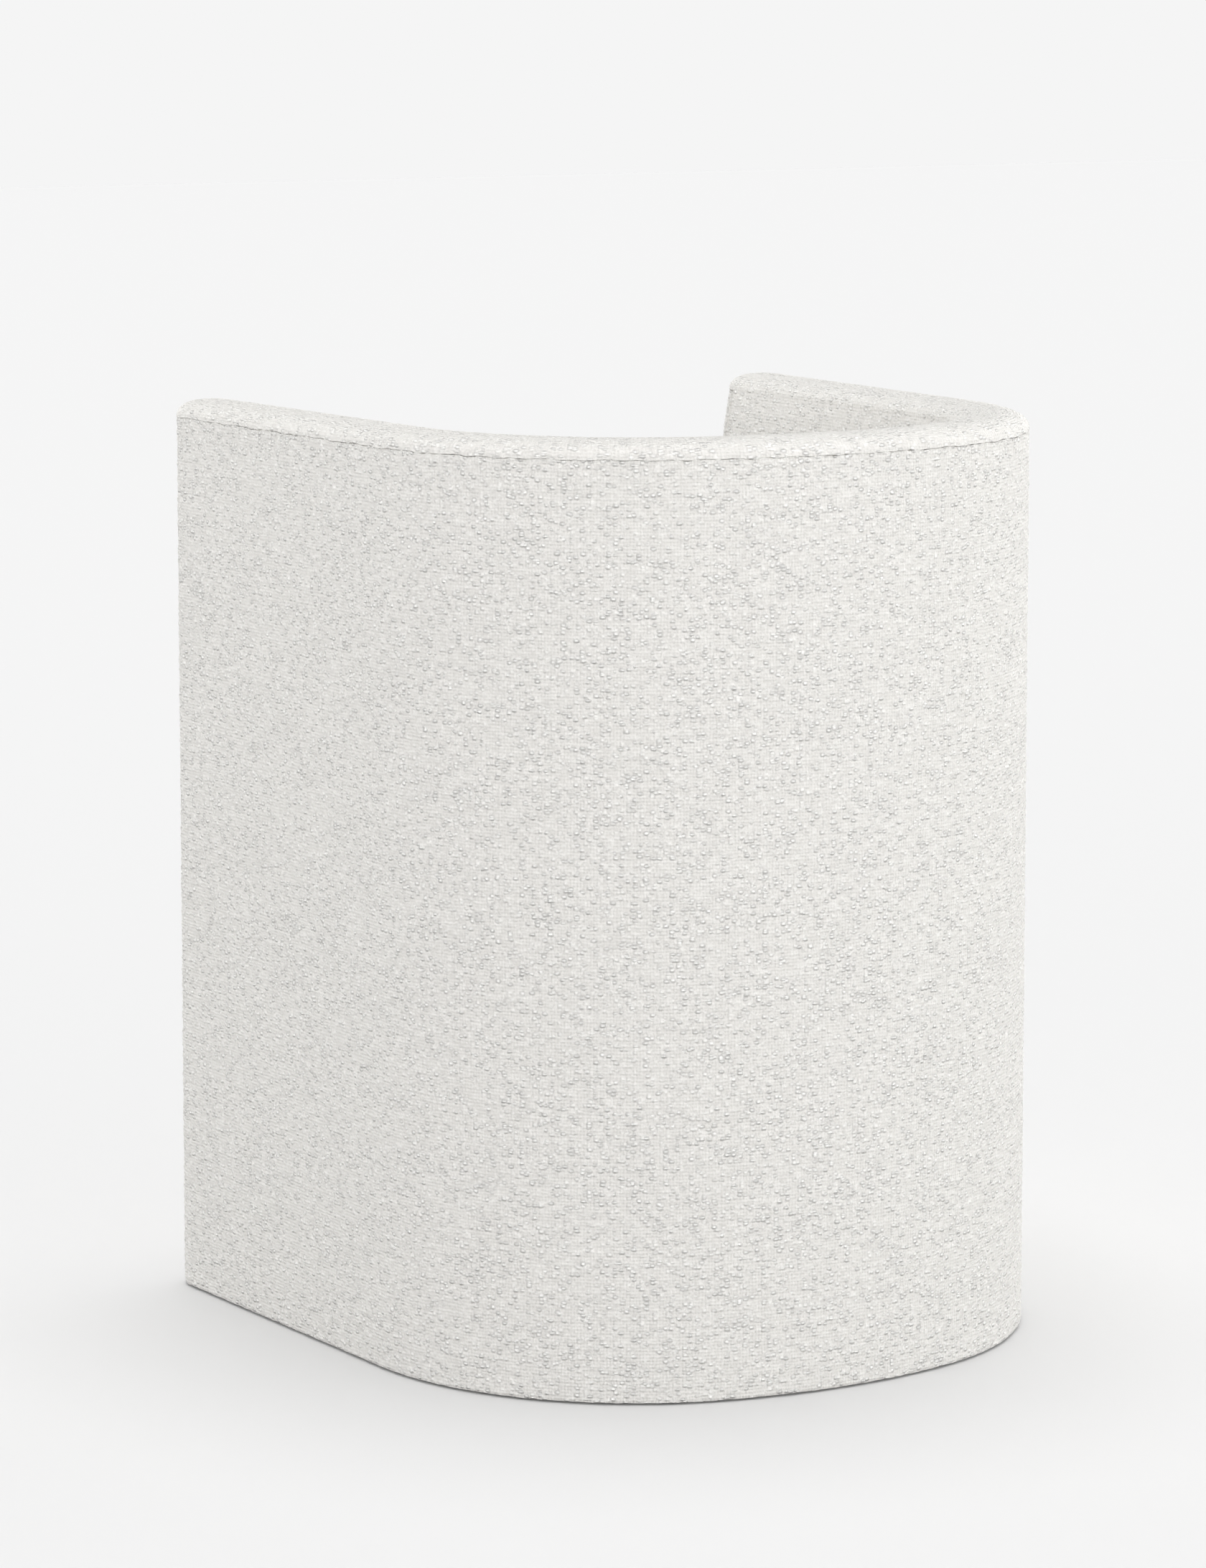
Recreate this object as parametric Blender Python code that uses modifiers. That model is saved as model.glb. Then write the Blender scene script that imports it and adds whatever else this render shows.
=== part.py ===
"""Upholstered barrel chair: a looped-wool wall on a bent timber frame, with a loose seat cushion.

Metres, +Z up, floor at z = 0. The chair faces -Y and is the same on both sides of x = 0.
A place in the wall is given by a station along its outer line and a depth inwards from it.
"""

import math

import bmesh
import bpy
from mathutils import Matrix, Vector

# Overall form
HEIGHT = 0.762
BODY_WIDTH = 0.582
DEPTH = 0.594
CORNER_RADIUS = 0.244
BACK_RADIUS = 0.422
ARM_SPLAY = math.radians(2.35)
RIM_THICKNESS = 0.060
SEAT_THICKNESS = 0.082
SWELL_LENGTH = 0.100
CROWN_HEIGHT = 0.0144
CROWN_POWER = 2.5
RIM_DROP = 0.025
SWELL_DROPS = (0.06, 0.12, 0.21)
NOSE_END = 0.02

# Clearance between pieces that touch, and the layers of the wall from the outside in
GAP = 0.0003
SEAM_GAP = 0.001
COVER = 0.0024
WADDING = 0.005
BOARD = 0.003
TIMBER = 0.022
WEBBING = 0.002

# Floor, frame and seat
GLIDE_HEIGHT = 0.004
GLIDE_RADIUS = 0.011
GLIDE_NAIL_RADIUS = 0.002
GLIDE_NAIL_LENGTH = 0.012
GLIDE_CLEARANCE = 0.004
HEM_SHORT = 0.006
BASE_BOARD = 0.018
BASE_EDGE = 0.020
BASE_FRONT = 0.060
POST_WIDTH = 0.046
TOP_RAIL = 0.022
RAIL_DROP = 0.0126
GRIP_DROP = 0.003
GRIP_HEIGHT = 0.0118
SEAT_RAIL_TOP = 0.368
SEAT_RAIL_HEIGHT = 0.068
SEAT_RAIL = 0.024
CORNER_BLOCK = 0.060
BLOCK_HEIGHT = 0.040
BLOCK_DROP = 0.010
WEB_WIDTH = 0.050
FRONT_BOARD = 0.005
PAD_TIP = 0.004
LIP_DEPTH = 0.070

# Springs and deck
WIRE_RADIUS = 0.0018
SPRING_SPACING = 0.070
SPRING_REACH = 0.023
SPRING_PITCH = 0.027
FRONT_BAR_INSET = 0.016
REAR_BAR_INSET = 0.002
CLIP_PLATE = 0.0012
CLIP_WIDTH = 0.018
DECK_FELT = 0.003
FELT_INSET = 0.006
FELT_SETBACK = 0.012
DECK_CLEARANCE = 0.001
DECK_PAD = 0.015
DECK_CLOTH = 0.001
DUST_CLOTH = 0.0006

# Seat cushion
CUSHION_GAP = 0.003
CUSHION_SETBACK = 0.010
CUSHION_THICKNESS = 0.080
CUSHION_CROWN = 0.016
CUSHION_SEAM = 0.014
BAND_DRAW = 0.010
ZIP_TAPE = 0.0014
ZIP_HEIGHT = 0.012
ZIP_LENGTH = 0.163
ZIP_STOP = 0.007
ZIP_STEPS = 8
SLOT_OVERCUT = 0.002
SLIDER_THICKNESS = 0.0018
SLIDER_LENGTH = 0.008
SLIDER_WIDTH = 0.008
PULL_LENGTH = 0.012
PULL_WIDTH = 0.005

# Facets along the wall
ARM_STEPS = 3
CORNER_STEPS = 8
BACK_STEPS = 3
NOSE_STEPS = 6
CROWN_STEPS = 5

# Levels that follow from the sizes above
half_rim = RIM_THICKNESS / 2
seam_z = HEIGHT - CROWN_HEIGHT
hem_z = GLIDE_HEIGHT - GAP - COVER
base_top = GLIDE_HEIGHT + BASE_BOARD
rail_top = seam_z - RAIL_DROP
rail_bottom = rail_top - TOP_RAIL
grip_top = seam_z - GRIP_DROP
grip_bottom = grip_top - GRIP_HEIGHT
wire_z = SEAT_RAIL_TOP + GAP + CLIP_PLATE + GAP + WIRE_RADIUS
clip_top = wire_z + WIRE_RADIUS + GAP + CLIP_PLATE
felt_z = wire_z + WIRE_RADIUS + GAP
pad_z = max(felt_z + DECK_FELT, clip_top) + GAP
deck_z = pad_z + DECK_PAD + GAP
lip_top = deck_z + COVER
cushion_bottom = lip_top + GAP
cushion_top = cushion_bottom + CUSHION_THICKNESS
pad_bottom = pad_z

# Depths in from the outer line
wadding_at = COVER + GAP
board_at = wadding_at + WADDING + GAP
timber_at = board_at + BOARD + GAP
web_at = timber_at + TIMBER + GAP
foam_at = web_at + WEBBING + GAP
hoop_inner = web_at + SEAT_RAIL
hem_turn = half_rim - HEM_SHORT
glide_at = hem_turn + GLIDE_RADIUS + GLIDE_CLEARANCE
dust_at = glide_at + GLIDE_RADIUS + GLIDE_CLEARANCE
base_inner = dust_at + BASE_EDGE
felt_at = hoop_inner + FELT_INSET
deck_at = SEAT_THICKNESS + DECK_CLEARANCE
cushion_at = SEAT_THICKNESS + CUSHION_GAP

# Plan of the outer line: straight arm, corner arc, back arc
corner_x = BODY_WIDTH / 2 - CORNER_RADIUS
corner_rise = math.sqrt((BACK_RADIUS - CORNER_RADIUS) ** 2 - corner_x ** 2)
corner_turn = math.atan2(corner_rise, corner_x)
back_centre_y = DEPTH / 2 - BACK_RADIUS
corner_y = back_centre_y + corner_rise
arm_inward = Vector((-math.cos(ARM_SPLAY), -math.sin(ARM_SPLAY)))
arm_forward = Vector((math.sin(ARM_SPLAY), -math.cos(ARM_SPLAY)))
arm_root = Vector((corner_x, corner_y)) - arm_inward * CORNER_RADIUS
arm_end_y = -DEPTH / 2 + half_rim - arm_inward.y * half_rim
arm_length = (arm_root.y - arm_end_y) / math.cos(ARM_SPLAY)
front_y = arm_end_y + arm_inward.y * hoop_inner
apron_y = front_y - FRONT_BOARD - WADDING - COVER - 3 * GAP


def half_line():
    """Outer line of the +X half, arm front to middle of the back, as (point, inward) pairs."""
    behind_post = arm_length - POST_WIDTH
    runs = [arm_length] + [behind_post * k / ARM_STEPS for k in range(ARM_STEPS, 0, -1)]
    line = [(arm_root + arm_forward * run, arm_inward) for run in runs]
    for k in range(CORNER_STEPS):
        turn = ARM_SPLAY + (corner_turn - ARM_SPLAY) * k / CORNER_STEPS
        out = Vector((math.cos(turn), math.sin(turn)))
        line.append((Vector((corner_x, corner_y)) + out * CORNER_RADIUS, -out))
    for k in range(BACK_STEPS + 1):
        turn = corner_turn + (math.pi / 2 - corner_turn) * k / BACK_STEPS
        out = Vector((math.cos(turn), math.sin(turn)))
        line.append((Vector((0, back_centre_y)) + out * BACK_RADIUS, -out))
    return line


def flip(vector):
    return Vector((-vector.x, vector.y))


right_line = half_line()
wall_line = right_line + [(flip(p), flip(n)) for p, n in reversed(right_line[:-1])]
middle = len(right_line) - 1
last = len(wall_line) - 1


def thickness(z):
    """Wall thickness at a height: rim size at the seam, swelling towards the seat."""
    drop = max(seam_z - z, 0.0)
    return RIM_THICKNESS + (SEAT_THICKNESS - RIM_THICKNESS) * (1 - math.exp(-drop / SWELL_LENGTH))


def on_wall(station):
    """Function that turns a depth and a height into a point at one station."""
    point, inward = wall_line[station]
    return lambda depth, z: Vector((*(point + inward * depth), z))


def on_nose(side, turn):
    """The same on the rounded front of an arm; turn 0 is its outer face and pi its inner face."""
    point, inward = wall_line[0]
    forward = arm_forward
    if side < 0:
        point, inward, forward = flip(point), flip(inward), flip(forward)
    centre = point + inward * half_rim

    def place(depth, z):
        inner = thickness(z) - half_rim
        across = half_rim - depth if math.cos(turn) > 0 else inner - depth
        flat = centre - inward * across * math.cos(turn)
        return Vector((*(flat + forward * (half_rim - depth) * math.sin(turn)), z))

    return place


swell_levels = [pad_bottom] + [seam_z - drop for drop in reversed(SWELL_DROPS)] + [grip_bottom - GAP]
whole_wall = [on_wall(i) for i in range(last + 1)]
nose_turns = [(math.pi - NOSE_END) * k / NOSE_STEPS for k in range(NOSE_STEPS, 0, -1)]


def wrapped_wall(furthest):
    """Stations of the whole wall, carried on round each arm front as far as a turn."""
    turns = [turn for turn in nose_turns if turn < furthest]
    return ([on_nose(1, turn) for turn in turns] + whole_wall
            + [on_nose(-1, turn) for turn in reversed(turns)])


def crown_half():
    """Rim section from the outer seam up to the ridge."""
    points = []
    for k in range(CROWN_STEPS + 1):
        turn = math.pi / 2 * k / CROWN_STEPS
        depth = half_rim * (1 - max(math.cos(turn), 0.0) ** (2 / CROWN_POWER))
        points.append((depth, seam_z + CROWN_HEIGHT * math.sin(turn) ** (2 / CROWN_POWER)))
    return points


def inside_profile():
    """Cover section: outer seam, over the ridge and down the inner face to the deck."""
    outer = crown_half()
    inner = [(RIM_THICKNESS - depth, z) for depth, z in reversed(outer[:-1])]
    drops = [RIM_DROP, *SWELL_DROPS, seam_z - pad_bottom]
    return outer + inner + [(thickness(seam_z - drop), seam_z - drop) for drop in drops]


def inset(points, amount):
    """Points moved to the right of the way they run, square to the line."""
    moved = []
    for k, (depth, z) in enumerate(points):
        before, after = points[max(k - 1, 0)], points[min(k + 1, len(points) - 1)]
        run = Vector((after[0] - before[0], after[1] - before[1])).normalized()
        if k == len(points) - 1:
            run = Vector((0, -1))
        moved.append((depth + run.y * amount, z - run.x * amount))
    return moved


materials = {}


def material(name, colour, roughness, metallic=0.0):
    surface = bpy.data.materials.new(name)
    surface.use_nodes = True
    shader = surface.node_tree.nodes["Principled BSDF"]
    shader.inputs["Base Color"].default_value = (*colour, 1.0)
    shader.inputs["Roughness"].default_value = roughness
    shader.inputs["Metallic"].default_value = metallic
    surface.diffuse_color = (*colour, 1.0)
    materials[name] = surface


def put(name, data, surface):
    """Object for one piece, with a material of its own."""
    obj = bpy.data.objects.new(name, data)
    own = materials[surface].copy()
    own.name = name + "_" + surface
    data.materials.append(own)
    chair.objects.link(obj)
    return obj


def finish(name, mesh, surface):
    bmesh.ops.recalc_face_normals(mesh, faces=mesh.faces[:])
    data = bpy.data.meshes.new(name)
    mesh.to_mesh(data)
    mesh.free()
    return put(name, data, surface)


def loft(name, rings, surface):
    """Closed solid: a face on the first ring, extruded through the others in turn."""
    mesh = bmesh.new()
    order = mesh.verts.layers.int.new("order")
    corners = []
    for k, point in enumerate(rings[0]):
        corner = mesh.verts.new(point)
        corner[order] = k
        corners.append(corner)
    face = mesh.faces.new(corners)
    for step, ring in enumerate(rings[1:]):
        grown = bmesh.ops.extrude_face_region(mesh, geom=[face])["geom"]
        if step > 0:
            bmesh.ops.delete(mesh, geom=[face], context="FACES_ONLY")
        face = next(item for item in grown if isinstance(item, bmesh.types.BMFace))
        for corner in face.verts:
            corner.co = ring[corner[order]]
    return finish(name, mesh, surface)


def sweep(name, section, places, surface):
    """Closed bar: a (depth, height) section carried along a row of places."""
    return loft(name, [[place(depth, z) for depth, z in section] for place in places], surface)


def band(name, outer, inner, low, high, places, surface):
    """Bar with a rectangular section."""
    return sweep(name, [(outer, low), (outer, high), (inner, high), (inner, low)], places, surface)


def plate(name, outlines, low, high, surface):
    """Flat sheet: a filled outline, with any later outlines as holes."""
    curve = bpy.data.curves.new(name, "CURVE")
    curve.dimensions = "2D"
    curve.fill_mode = "BOTH"
    curve.extrude = (high - low) / 2
    for outline in outlines:
        spline = curve.splines.new("POLY")
        spline.points.add(len(outline) - 1)
        for point, (x, y) in zip(spline.points, outline):
            point.co = (x, y, 0, 1)
        spline.use_cyclic_u = True
    sheet = put(name, curve, surface)
    sheet.location.z = (low + high) / 2
    return sheet


def as_mesh(obj):
    """The same object with its curve made into a welded mesh, ready for Booleans."""
    graph = bpy.context.evaluated_depsgraph_get()
    data = bpy.data.meshes.new_from_object(obj.evaluated_get(graph))
    mesh = bmesh.new()
    mesh.from_mesh(data)
    bmesh.ops.remove_doubles(mesh, verts=mesh.verts[:], dist=1e-6)
    mesh.to_mesh(data)
    mesh.free()
    name, place, surface = obj.name, obj.location.copy(), obj.data.materials[0]
    bpy.data.objects.remove(obj)
    solid = bpy.data.objects.new(name, data)
    solid.location = place
    if not data.materials:
        data.materials.append(surface)
    chair.objects.link(solid)
    return solid


def cut(obj, cutter):
    chair.objects.unlink(cutter)
    cutters.objects.link(cutter)
    cutter.hide_render = True
    cutter.display_type = "WIRE"
    step = obj.modifiers.new("cut_" + cutter.name, "BOOLEAN")
    step.operation = "DIFFERENCE"
    step.solver = "EXACT"
    step.object = cutter


def line_at(depth, first=0, final=None):
    """Plan points of the wall at one depth, arm front to arm front."""
    final = last if final is None else final
    return [tuple(on_wall(i)(depth, 0).xy) for i in range(first, final + 1)]


def seat_outline(depth, front):
    """Plan inside the wall at one depth, closed by a straight front edge."""
    line = [point for point in line_at(depth) if point[1] > front]
    lean = math.tan(ARM_SPLAY)
    x, y = line[0]
    corner = x + (y - front) * lean
    return [(corner, front)] + line + [(-corner, front)]


def wall_y(x, depth):
    """How far back the wall runs at one depth, at a distance x from the middle."""
    if abs(x) < (BACK_RADIUS - depth) * math.cos(corner_turn):
        return back_centre_y + math.sqrt((BACK_RADIUS - depth) ** 2 - x * x)
    return corner_y + math.sqrt((CORNER_RADIUS - depth) ** 2 - (abs(x) - corner_x) ** 2)


def arm_x(y, depth):
    """Half width between the arms at one depth, at a place y along them."""
    point = arm_root + arm_inward * depth
    return point.x + (point.y - y) * math.tan(ARM_SPLAY)


def frame_pieces():
    rims = [seat_outline(board_at, arm_end_y), seat_outline(base_inner, arm_end_y + BASE_FRONT)]
    ring = as_mesh(plate("base_ring", rims, GLIDE_HEIGHT, base_top, "plywood"))
    band("top_rail", timber_at, web_at - GAP, rail_bottom, rail_top, whole_wall, "plywood")
    low, high = base_top + GAP, rail_bottom - GAP
    studs = {"front_post": 0, "arm_stud": 2, "corner_stud_front": 5, "corner_stud_rear": 9, "back_stud": 13}
    for name, start in studs.items():
        for side, at in (("left", start), ("right", last - start - 1)):
            band(name + "_" + side, timber_at, web_at - GAP, low, high, whole_wall[at:at + 2], "hardwood")
    rail_base = SEAT_RAIL_TOP - SEAT_RAIL_HEIGHT
    band("seat_hoop", web_at, hoop_inner, rail_base, SEAT_RAIL_TOP, whole_wall, "plywood")
    rear = front_y + SEAT_RAIL
    reach = arm_x(rear, hoop_inner + 2 * GAP)
    plate("front_seat_rail", [[(reach, front_y), (reach, rear), (-reach, rear), (-reach, front_y)]],
          rail_base, SEAT_RAIL_TOP, "hardwood")
    near, far = rear + GAP, rear + GAP + CORNER_BLOCK
    for side, sign in (("left", 1), ("right", -1)):
        corner = [(arm_x(near, hoop_inner + GAP), near), (arm_x(far, hoop_inner + GAP), far),
                  (arm_x(near, hoop_inner + GAP) - CORNER_BLOCK, near)]
        plate("corner_block_" + side, [[(sign * x, y) for x, y in corner]],
              SEAT_RAIL_TOP - BLOCK_DROP - BLOCK_HEIGHT, SEAT_RAIL_TOP - BLOCK_DROP, "hardwood")
    return ring


def wall_padding():
    band("back_board", board_at, timber_at - GAP, base_top + GAP, rail_top, whole_wall, "bent_board")
    low, high = GLIDE_HEIGHT, grip_bottom - GAP
    section = [(wadding_at, low), (wadding_at, high), (board_at - GAP, high), (board_at - GAP, low)]
    sweep("outer_wadding", section, wrapped_wall(math.pi / 2), "wadding")
    band("seam_grip_strip", wadding_at, board_at - GAP, grip_bottom, grip_top, whole_wall, "zinc_steel")
    room = rail_bottom - cushion_top - CUSHION_CROWN
    for k in range(3):
        middle_z = cushion_top + room * (k + 0.5) / 3
        band("back_web_%d" % (k + 1), web_at, web_at + WEBBING, middle_z - WEB_WIDTH / 2,
             middle_z + WEB_WIDTH / 2, whole_wall, "webbing")
    under = inset(inside_profile(), wadding_at)
    seat = [(foam_at, pad_bottom), (foam_at, rail_top + GAP), (board_at, rail_top + GAP),
            (board_at, grip_top + GAP), (wadding_at, grip_top + GAP)]
    sweep("inside_foam", under + seat, whole_wall, "foam")
    for side, sign in (("left", 1), ("right", -1)):
        arm_front_pad("arm_front_pad_" + side, sign)


def arm_front_pad(name, sign):
    """Half-round foam on the front of a post, flat behind and domed under the rim."""
    turns = [0.0] + nose_turns[::-1]
    levels = [base_top + GAP] + swell_levels + [seam_z]
    pad_at = board_at + GAP
    tip_at = half_rim - PAD_TIP
    dome = inset(crown_half(), wadding_at + GAP)
    rings = [(pad_at, z) for z in levels]
    rings += [(depth, z) for depth, z in dome if pad_at < depth < tip_at]
    rings.append((tip_at, HEIGHT - wadding_at - GAP))
    ahead = Vector((arm_forward.x * sign, arm_forward.y, 0)) * GAP
    outline = [[on_nose(sign, turn)(depth, z) + ahead for turn in turns] for depth, z in rings]
    return loft(name, outline, "foam")


def wall_covers():
    levels = swell_levels + [seam_z - SEAM_GAP]
    section = [(0, hem_z)] + [(0, z) for z in levels] + [(COVER, z) for z in reversed(levels)]
    section += [(COVER, hem_z + COVER), (hem_turn, hem_z + COVER), (hem_turn, hem_z)]
    sweep("outside_cover", section, wrapped_wall(math.pi), "boucle")
    inside_cover()


def grid_over(mesh, columns, rows, place):
    """Grid primitive with each corner moved to place(column, row)."""
    made = bmesh.ops.create_grid(mesh, x_segments=columns - 1, y_segments=rows - 1, size=0.5)["verts"]
    for corner in made:
        column = round((corner.co.x + 0.5) * (columns - 1))
        row = round((corner.co.y + 0.5) * (rows - 1))
        corner.co = place(column, row)


def inside_cover():
    """Open sheet over the rim and down the inner face, with a dome at each arm front."""
    profile, crown = inside_profile(), crown_half()
    mesh = bmesh.new()
    grid_over(mesh, len(profile), last + 1, lambda column, row: whole_wall[row](*profile[column]))
    for sign in (1, -1):
        grid_over(mesh, len(crown), NOSE_STEPS + 1,
                  lambda column, row: on_nose(sign, math.pi * row / NOSE_STEPS)(*crown[column]))
    bmesh.ops.remove_doubles(mesh, verts=mesh.verts[:], dist=1e-6)
    bmesh.ops.recalc_face_normals(mesh, faces=mesh.faces[:])
    highest = max(mesh.faces, key=lambda face: face.calc_center_median().z)
    if highest.normal.z < 0:
        bmesh.ops.reverse_faces(mesh, faces=mesh.faces[:])
    data = bpy.data.meshes.new("inside_cover")
    mesh.to_mesh(data)
    mesh.free()
    cover = put("inside_cover", data, "boucle")
    shell = cover.modifiers.new("cloth", "SOLIDIFY")
    shell.thickness = COVER
    shell.offset = -1
    shell.use_even_offset = True
    return cover


def front_pieces():
    """Apron between the arms, each layer a straight bar across the front."""
    def across(name, section, surface):
        ends = [[Vector((side * arm_x(y, deck_at), y, z)) for y, z in section] for side in (1, -1)]
        return loft(name, ends, surface)

    board_front = front_y - GAP - FRONT_BOARD
    across("front_board", [(front_y - GAP, base_top + GAP), (front_y - GAP, SEAT_RAIL_TOP),
                           (board_front, SEAT_RAIL_TOP), (board_front, base_top + GAP)], "plywood")
    soft_back = board_front - GAP
    soft_front = soft_back - WADDING
    across("front_wadding", [(soft_back, GLIDE_HEIGHT), (soft_back, pad_z - GAP),
                             (soft_front, pad_z - GAP), (soft_front, GLIDE_HEIGHT)], "wadding")
    face, tuck, lip = apron_y, apron_y + hem_turn, apron_y + LIP_DEPTH
    across("front_cover", [(face, hem_z), (face, lip_top), (lip, lip_top), (lip, deck_z),
                           (face + COVER, deck_z), (face + COVER, hem_z + COVER),
                           (tuck, hem_z + COVER), (tuck, hem_z)], "boucle")


def spring_line(length):
    """Plan of one zigzag spring, along +Y from its front bar."""
    turns = max(round(length / SPRING_PITCH), 2)
    pitch = length / turns
    points = [(-SPRING_REACH + pitch / 2, 0.0)]
    for k in range(turns):
        side = 1 if k % 2 == 0 else -1
        centre = side * (SPRING_REACH - pitch / 2)
        for step in range(4):
            turn = -math.pi / 2 + math.pi * step / 3
            x = centre + side * pitch / 2 * math.cos(turn)
            y = pitch * k + pitch / 2 * (1 + math.sin(turn))
            points.append((x, y))
    side = 1 if turns % 2 == 0 else -1
    points.append((side * (SPRING_REACH - pitch / 2), length))
    return points


def clip(name, x, y, facing):
    """Steel clip on a rail top, its mouth towards the middle of the seat."""
    outer = WIRE_RADIUS + GAP + CLIP_PLATE
    inner = WIRE_RADIUS + GAP
    outline = [(-outer, -outer), (outer, -outer), (outer, -inner), (-inner, -inner), (-inner, inner),
               (outer, inner), (outer, outer), (-outer, outer)]
    piece = plate(name, [[(facing * y, z) for y, z in outline]], 0.0, CLIP_WIDTH, "zinc_steel")
    piece.rotation_euler = (math.pi / 2, 0, math.pi / 2)
    piece.location = (x, y, wire_z)
    return piece


def springs_and_deck():
    front_bar = front_y + FRONT_BAR_INSET
    for k in range(5):
        x = (k - 2) * SPRING_SPACING
        rear_bar = wall_y(x, (web_at + hoop_inner) / 2) - REAR_BAR_INSET
        curve = bpy.data.curves.new("spring_%d" % (k + 1), "CURVE")
        curve.dimensions = "3D"
        curve.bevel_depth = WIRE_RADIUS
        curve.bevel_resolution = 1
        curve.use_fill_caps = True
        line = spring_line(rear_bar - front_bar)
        wire = curve.splines.new("POLY")
        wire.points.add(len(line) - 1)
        for point, (along_x, along_y) in zip(wire.points, line):
            point.co = (along_x, along_y, 0, 1)
        spring = put("spring_%d" % (k + 1), curve, "spring_steel")
        spring.location = (x, front_bar, wire_z)
        clip("front_clip_%d" % (k + 1), x, front_bar, 1)
        clip("rear_clip_%d" % (k + 1), x, rear_bar, -1)
    plate("deck_felt", [seat_outline(felt_at, front_bar + FELT_SETBACK)], felt_z, felt_z + DECK_FELT, "felt")
    plate("deck_pad", [seat_outline(deck_at, apron_y + COVER + GAP)], pad_z, pad_z + DECK_PAD, "foam")
    behind_lip = seat_outline(deck_at, apron_y + LIP_DEPTH + GAP)
    plate("deck_cloth", [behind_lip], deck_z, deck_z + DECK_CLOTH, "deck_cloth")


def cushion_ring(depth, front, share, z):
    """Plan of the cushion at one depth, shrunk by a share towards its middle."""
    side = line_at(depth)
    x, y = side[0]
    radius = y - front
    corner = [(x - radius + radius * math.cos(turn), y - radius * math.sin(turn))
              for turn in (math.pi / 2, math.pi / 3, math.pi / 6)]
    reach = x - radius
    middle_front = [(reach * k / 3, front) for k in (-2, -1, 0, 1, 2)]
    loop = middle_front + corner + side + [(-px, py) for px, py in reversed(corner)]
    centre = (front + wall_y(0, depth)) / 2
    return [Vector((px * share, centre + (py - centre) * share, z)) for px, py in loop]


def cushion_form(name, inward, surface):
    """Boxed cushion: crowned top, drawn-in band and a flatter underside."""
    low, high = cushion_bottom + inward, cushion_top - inward
    depth, front = cushion_at + inward, -DEPTH / 2 + CUSHION_SETBACK + inward
    seam = CUSHION_SEAM - inward / 2
    levels = [(0.15, low), (0.60, low), (0.90, low + 0.001), (0.98, low + 0.4 * seam), (1.0, low + seam),
              (1.0 - BAND_DRAW, low + 0.40 * (high - low)), (1.0 - BAND_DRAW, low + 0.60 * (high - low)),
              (1.0, high - seam), (0.98, high - 0.4 * seam), (0.90, high + 0.20 * CUSHION_CROWN),
              (0.60, high + 0.75 * CUSHION_CROWN), (0.15, high + CUSHION_CROWN)]
    return loft(name, [cushion_ring(depth, front, share, z) for share, z in levels], surface)


def cushion_pieces():
    cover = cushion_form("cushion_cover", 0.0, "boucle")
    core = cushion_form("cushion_core", COVER + GAP, "foam")
    hollow = cushion_form("cushion_hollow", COVER, "foam")
    cut(cover, hollow)
    slider, tape, pivot = zip_pieces(cover)
    lift = empty("cushion_lift", (0, 0, cushion_bottom))
    for piece in (cover, core, tape, pivot):
        adopt(piece, lift)
    adopt(slider, pivot)


def zip_arc():
    """Centre and radius of the circle through the cushion's back edge at the zip's middle and ends."""
    half = ZIP_LENGTH / 2
    behind = wall_y(0, cushion_at)
    sag = behind - wall_y(half, cushion_at)
    radius = (half ** 2 + sag ** 2) / (2 * sag)
    return Vector((0, behind - radius)), radius


def on_zip_arc(turn):
    """Function for a place on the zip's arc, turned from +X about its centre."""
    centre, radius = zip_arc()
    out = Vector((math.cos(turn), math.sin(turn)))
    return lambda depth, z: Vector((*(centre + out * (radius + cushion_at - depth)), z))


def zip_pieces(cover):
    """Slot in the back of the cushion's band, with the tape in it and the slider on the tape."""
    centre, radius = zip_arc()
    half_turn = math.asin(ZIP_LENGTH / 2 / radius)
    middle_z = (cushion_bottom + cushion_top) / 2
    low, high = middle_z - ZIP_HEIGHT / 2, middle_z + ZIP_HEIGHT / 2
    tape_at = cushion_at + BAND_DRAW * (wall_y(0, cushion_at) + DEPTH / 2 - CUSHION_SETBACK) / 2

    def run(reach):
        return [on_zip_arc(math.pi / 2 + reach * (2 * k / ZIP_STEPS - 1)) for k in range(ZIP_STEPS + 1)]

    slot = band("zip_slot", cushion_at - SLOT_OVERCUT, tape_at + COVER + GAP / 2, low, high,
                run(half_turn), "foam")
    cut(cover, slot)
    tape = band("zip_tape", tape_at, tape_at + ZIP_TAPE, low + GAP, high - GAP,
                run(half_turn - GAP / radius), "zip_nylon")
    rear, front = -SLIDER_LENGTH / 2, SLIDER_LENGTH / 2
    side = [(rear, SLIDER_WIDTH / 2), (front, 0.4 * SLIDER_WIDTH), (front, 0.3 * PULL_WIDTH),
            (front + PULL_LENGTH, PULL_WIDTH / 2)]
    outline = [(x, -y) for x, y in side] + side[::-1]
    slider = plate("zip_slider", [outline], 0.0, SLIDER_THICKNESS, "zinc_steel")
    start = math.pi / 2 - half_turn + ZIP_STOP / radius
    slider.rotation_euler = (math.pi / 2, 0, start + math.pi / 2)
    slider.location = on_zip_arc(start)(tape_at - GAP - SLIDER_THICKNESS / 2, middle_z)
    return slider, tape, empty("zip_pivot", (*centre, middle_z))


def empty(name, place):
    pivot = bpy.data.objects.new(name, None)
    pivot.location = place
    chair.objects.link(pivot)
    return pivot


def adopt(piece, parent):
    """Hang a piece on an empty without moving it."""
    piece.parent = parent
    piece.matrix_parent_inverse = Matrix.Translation(-parent.location)


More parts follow.
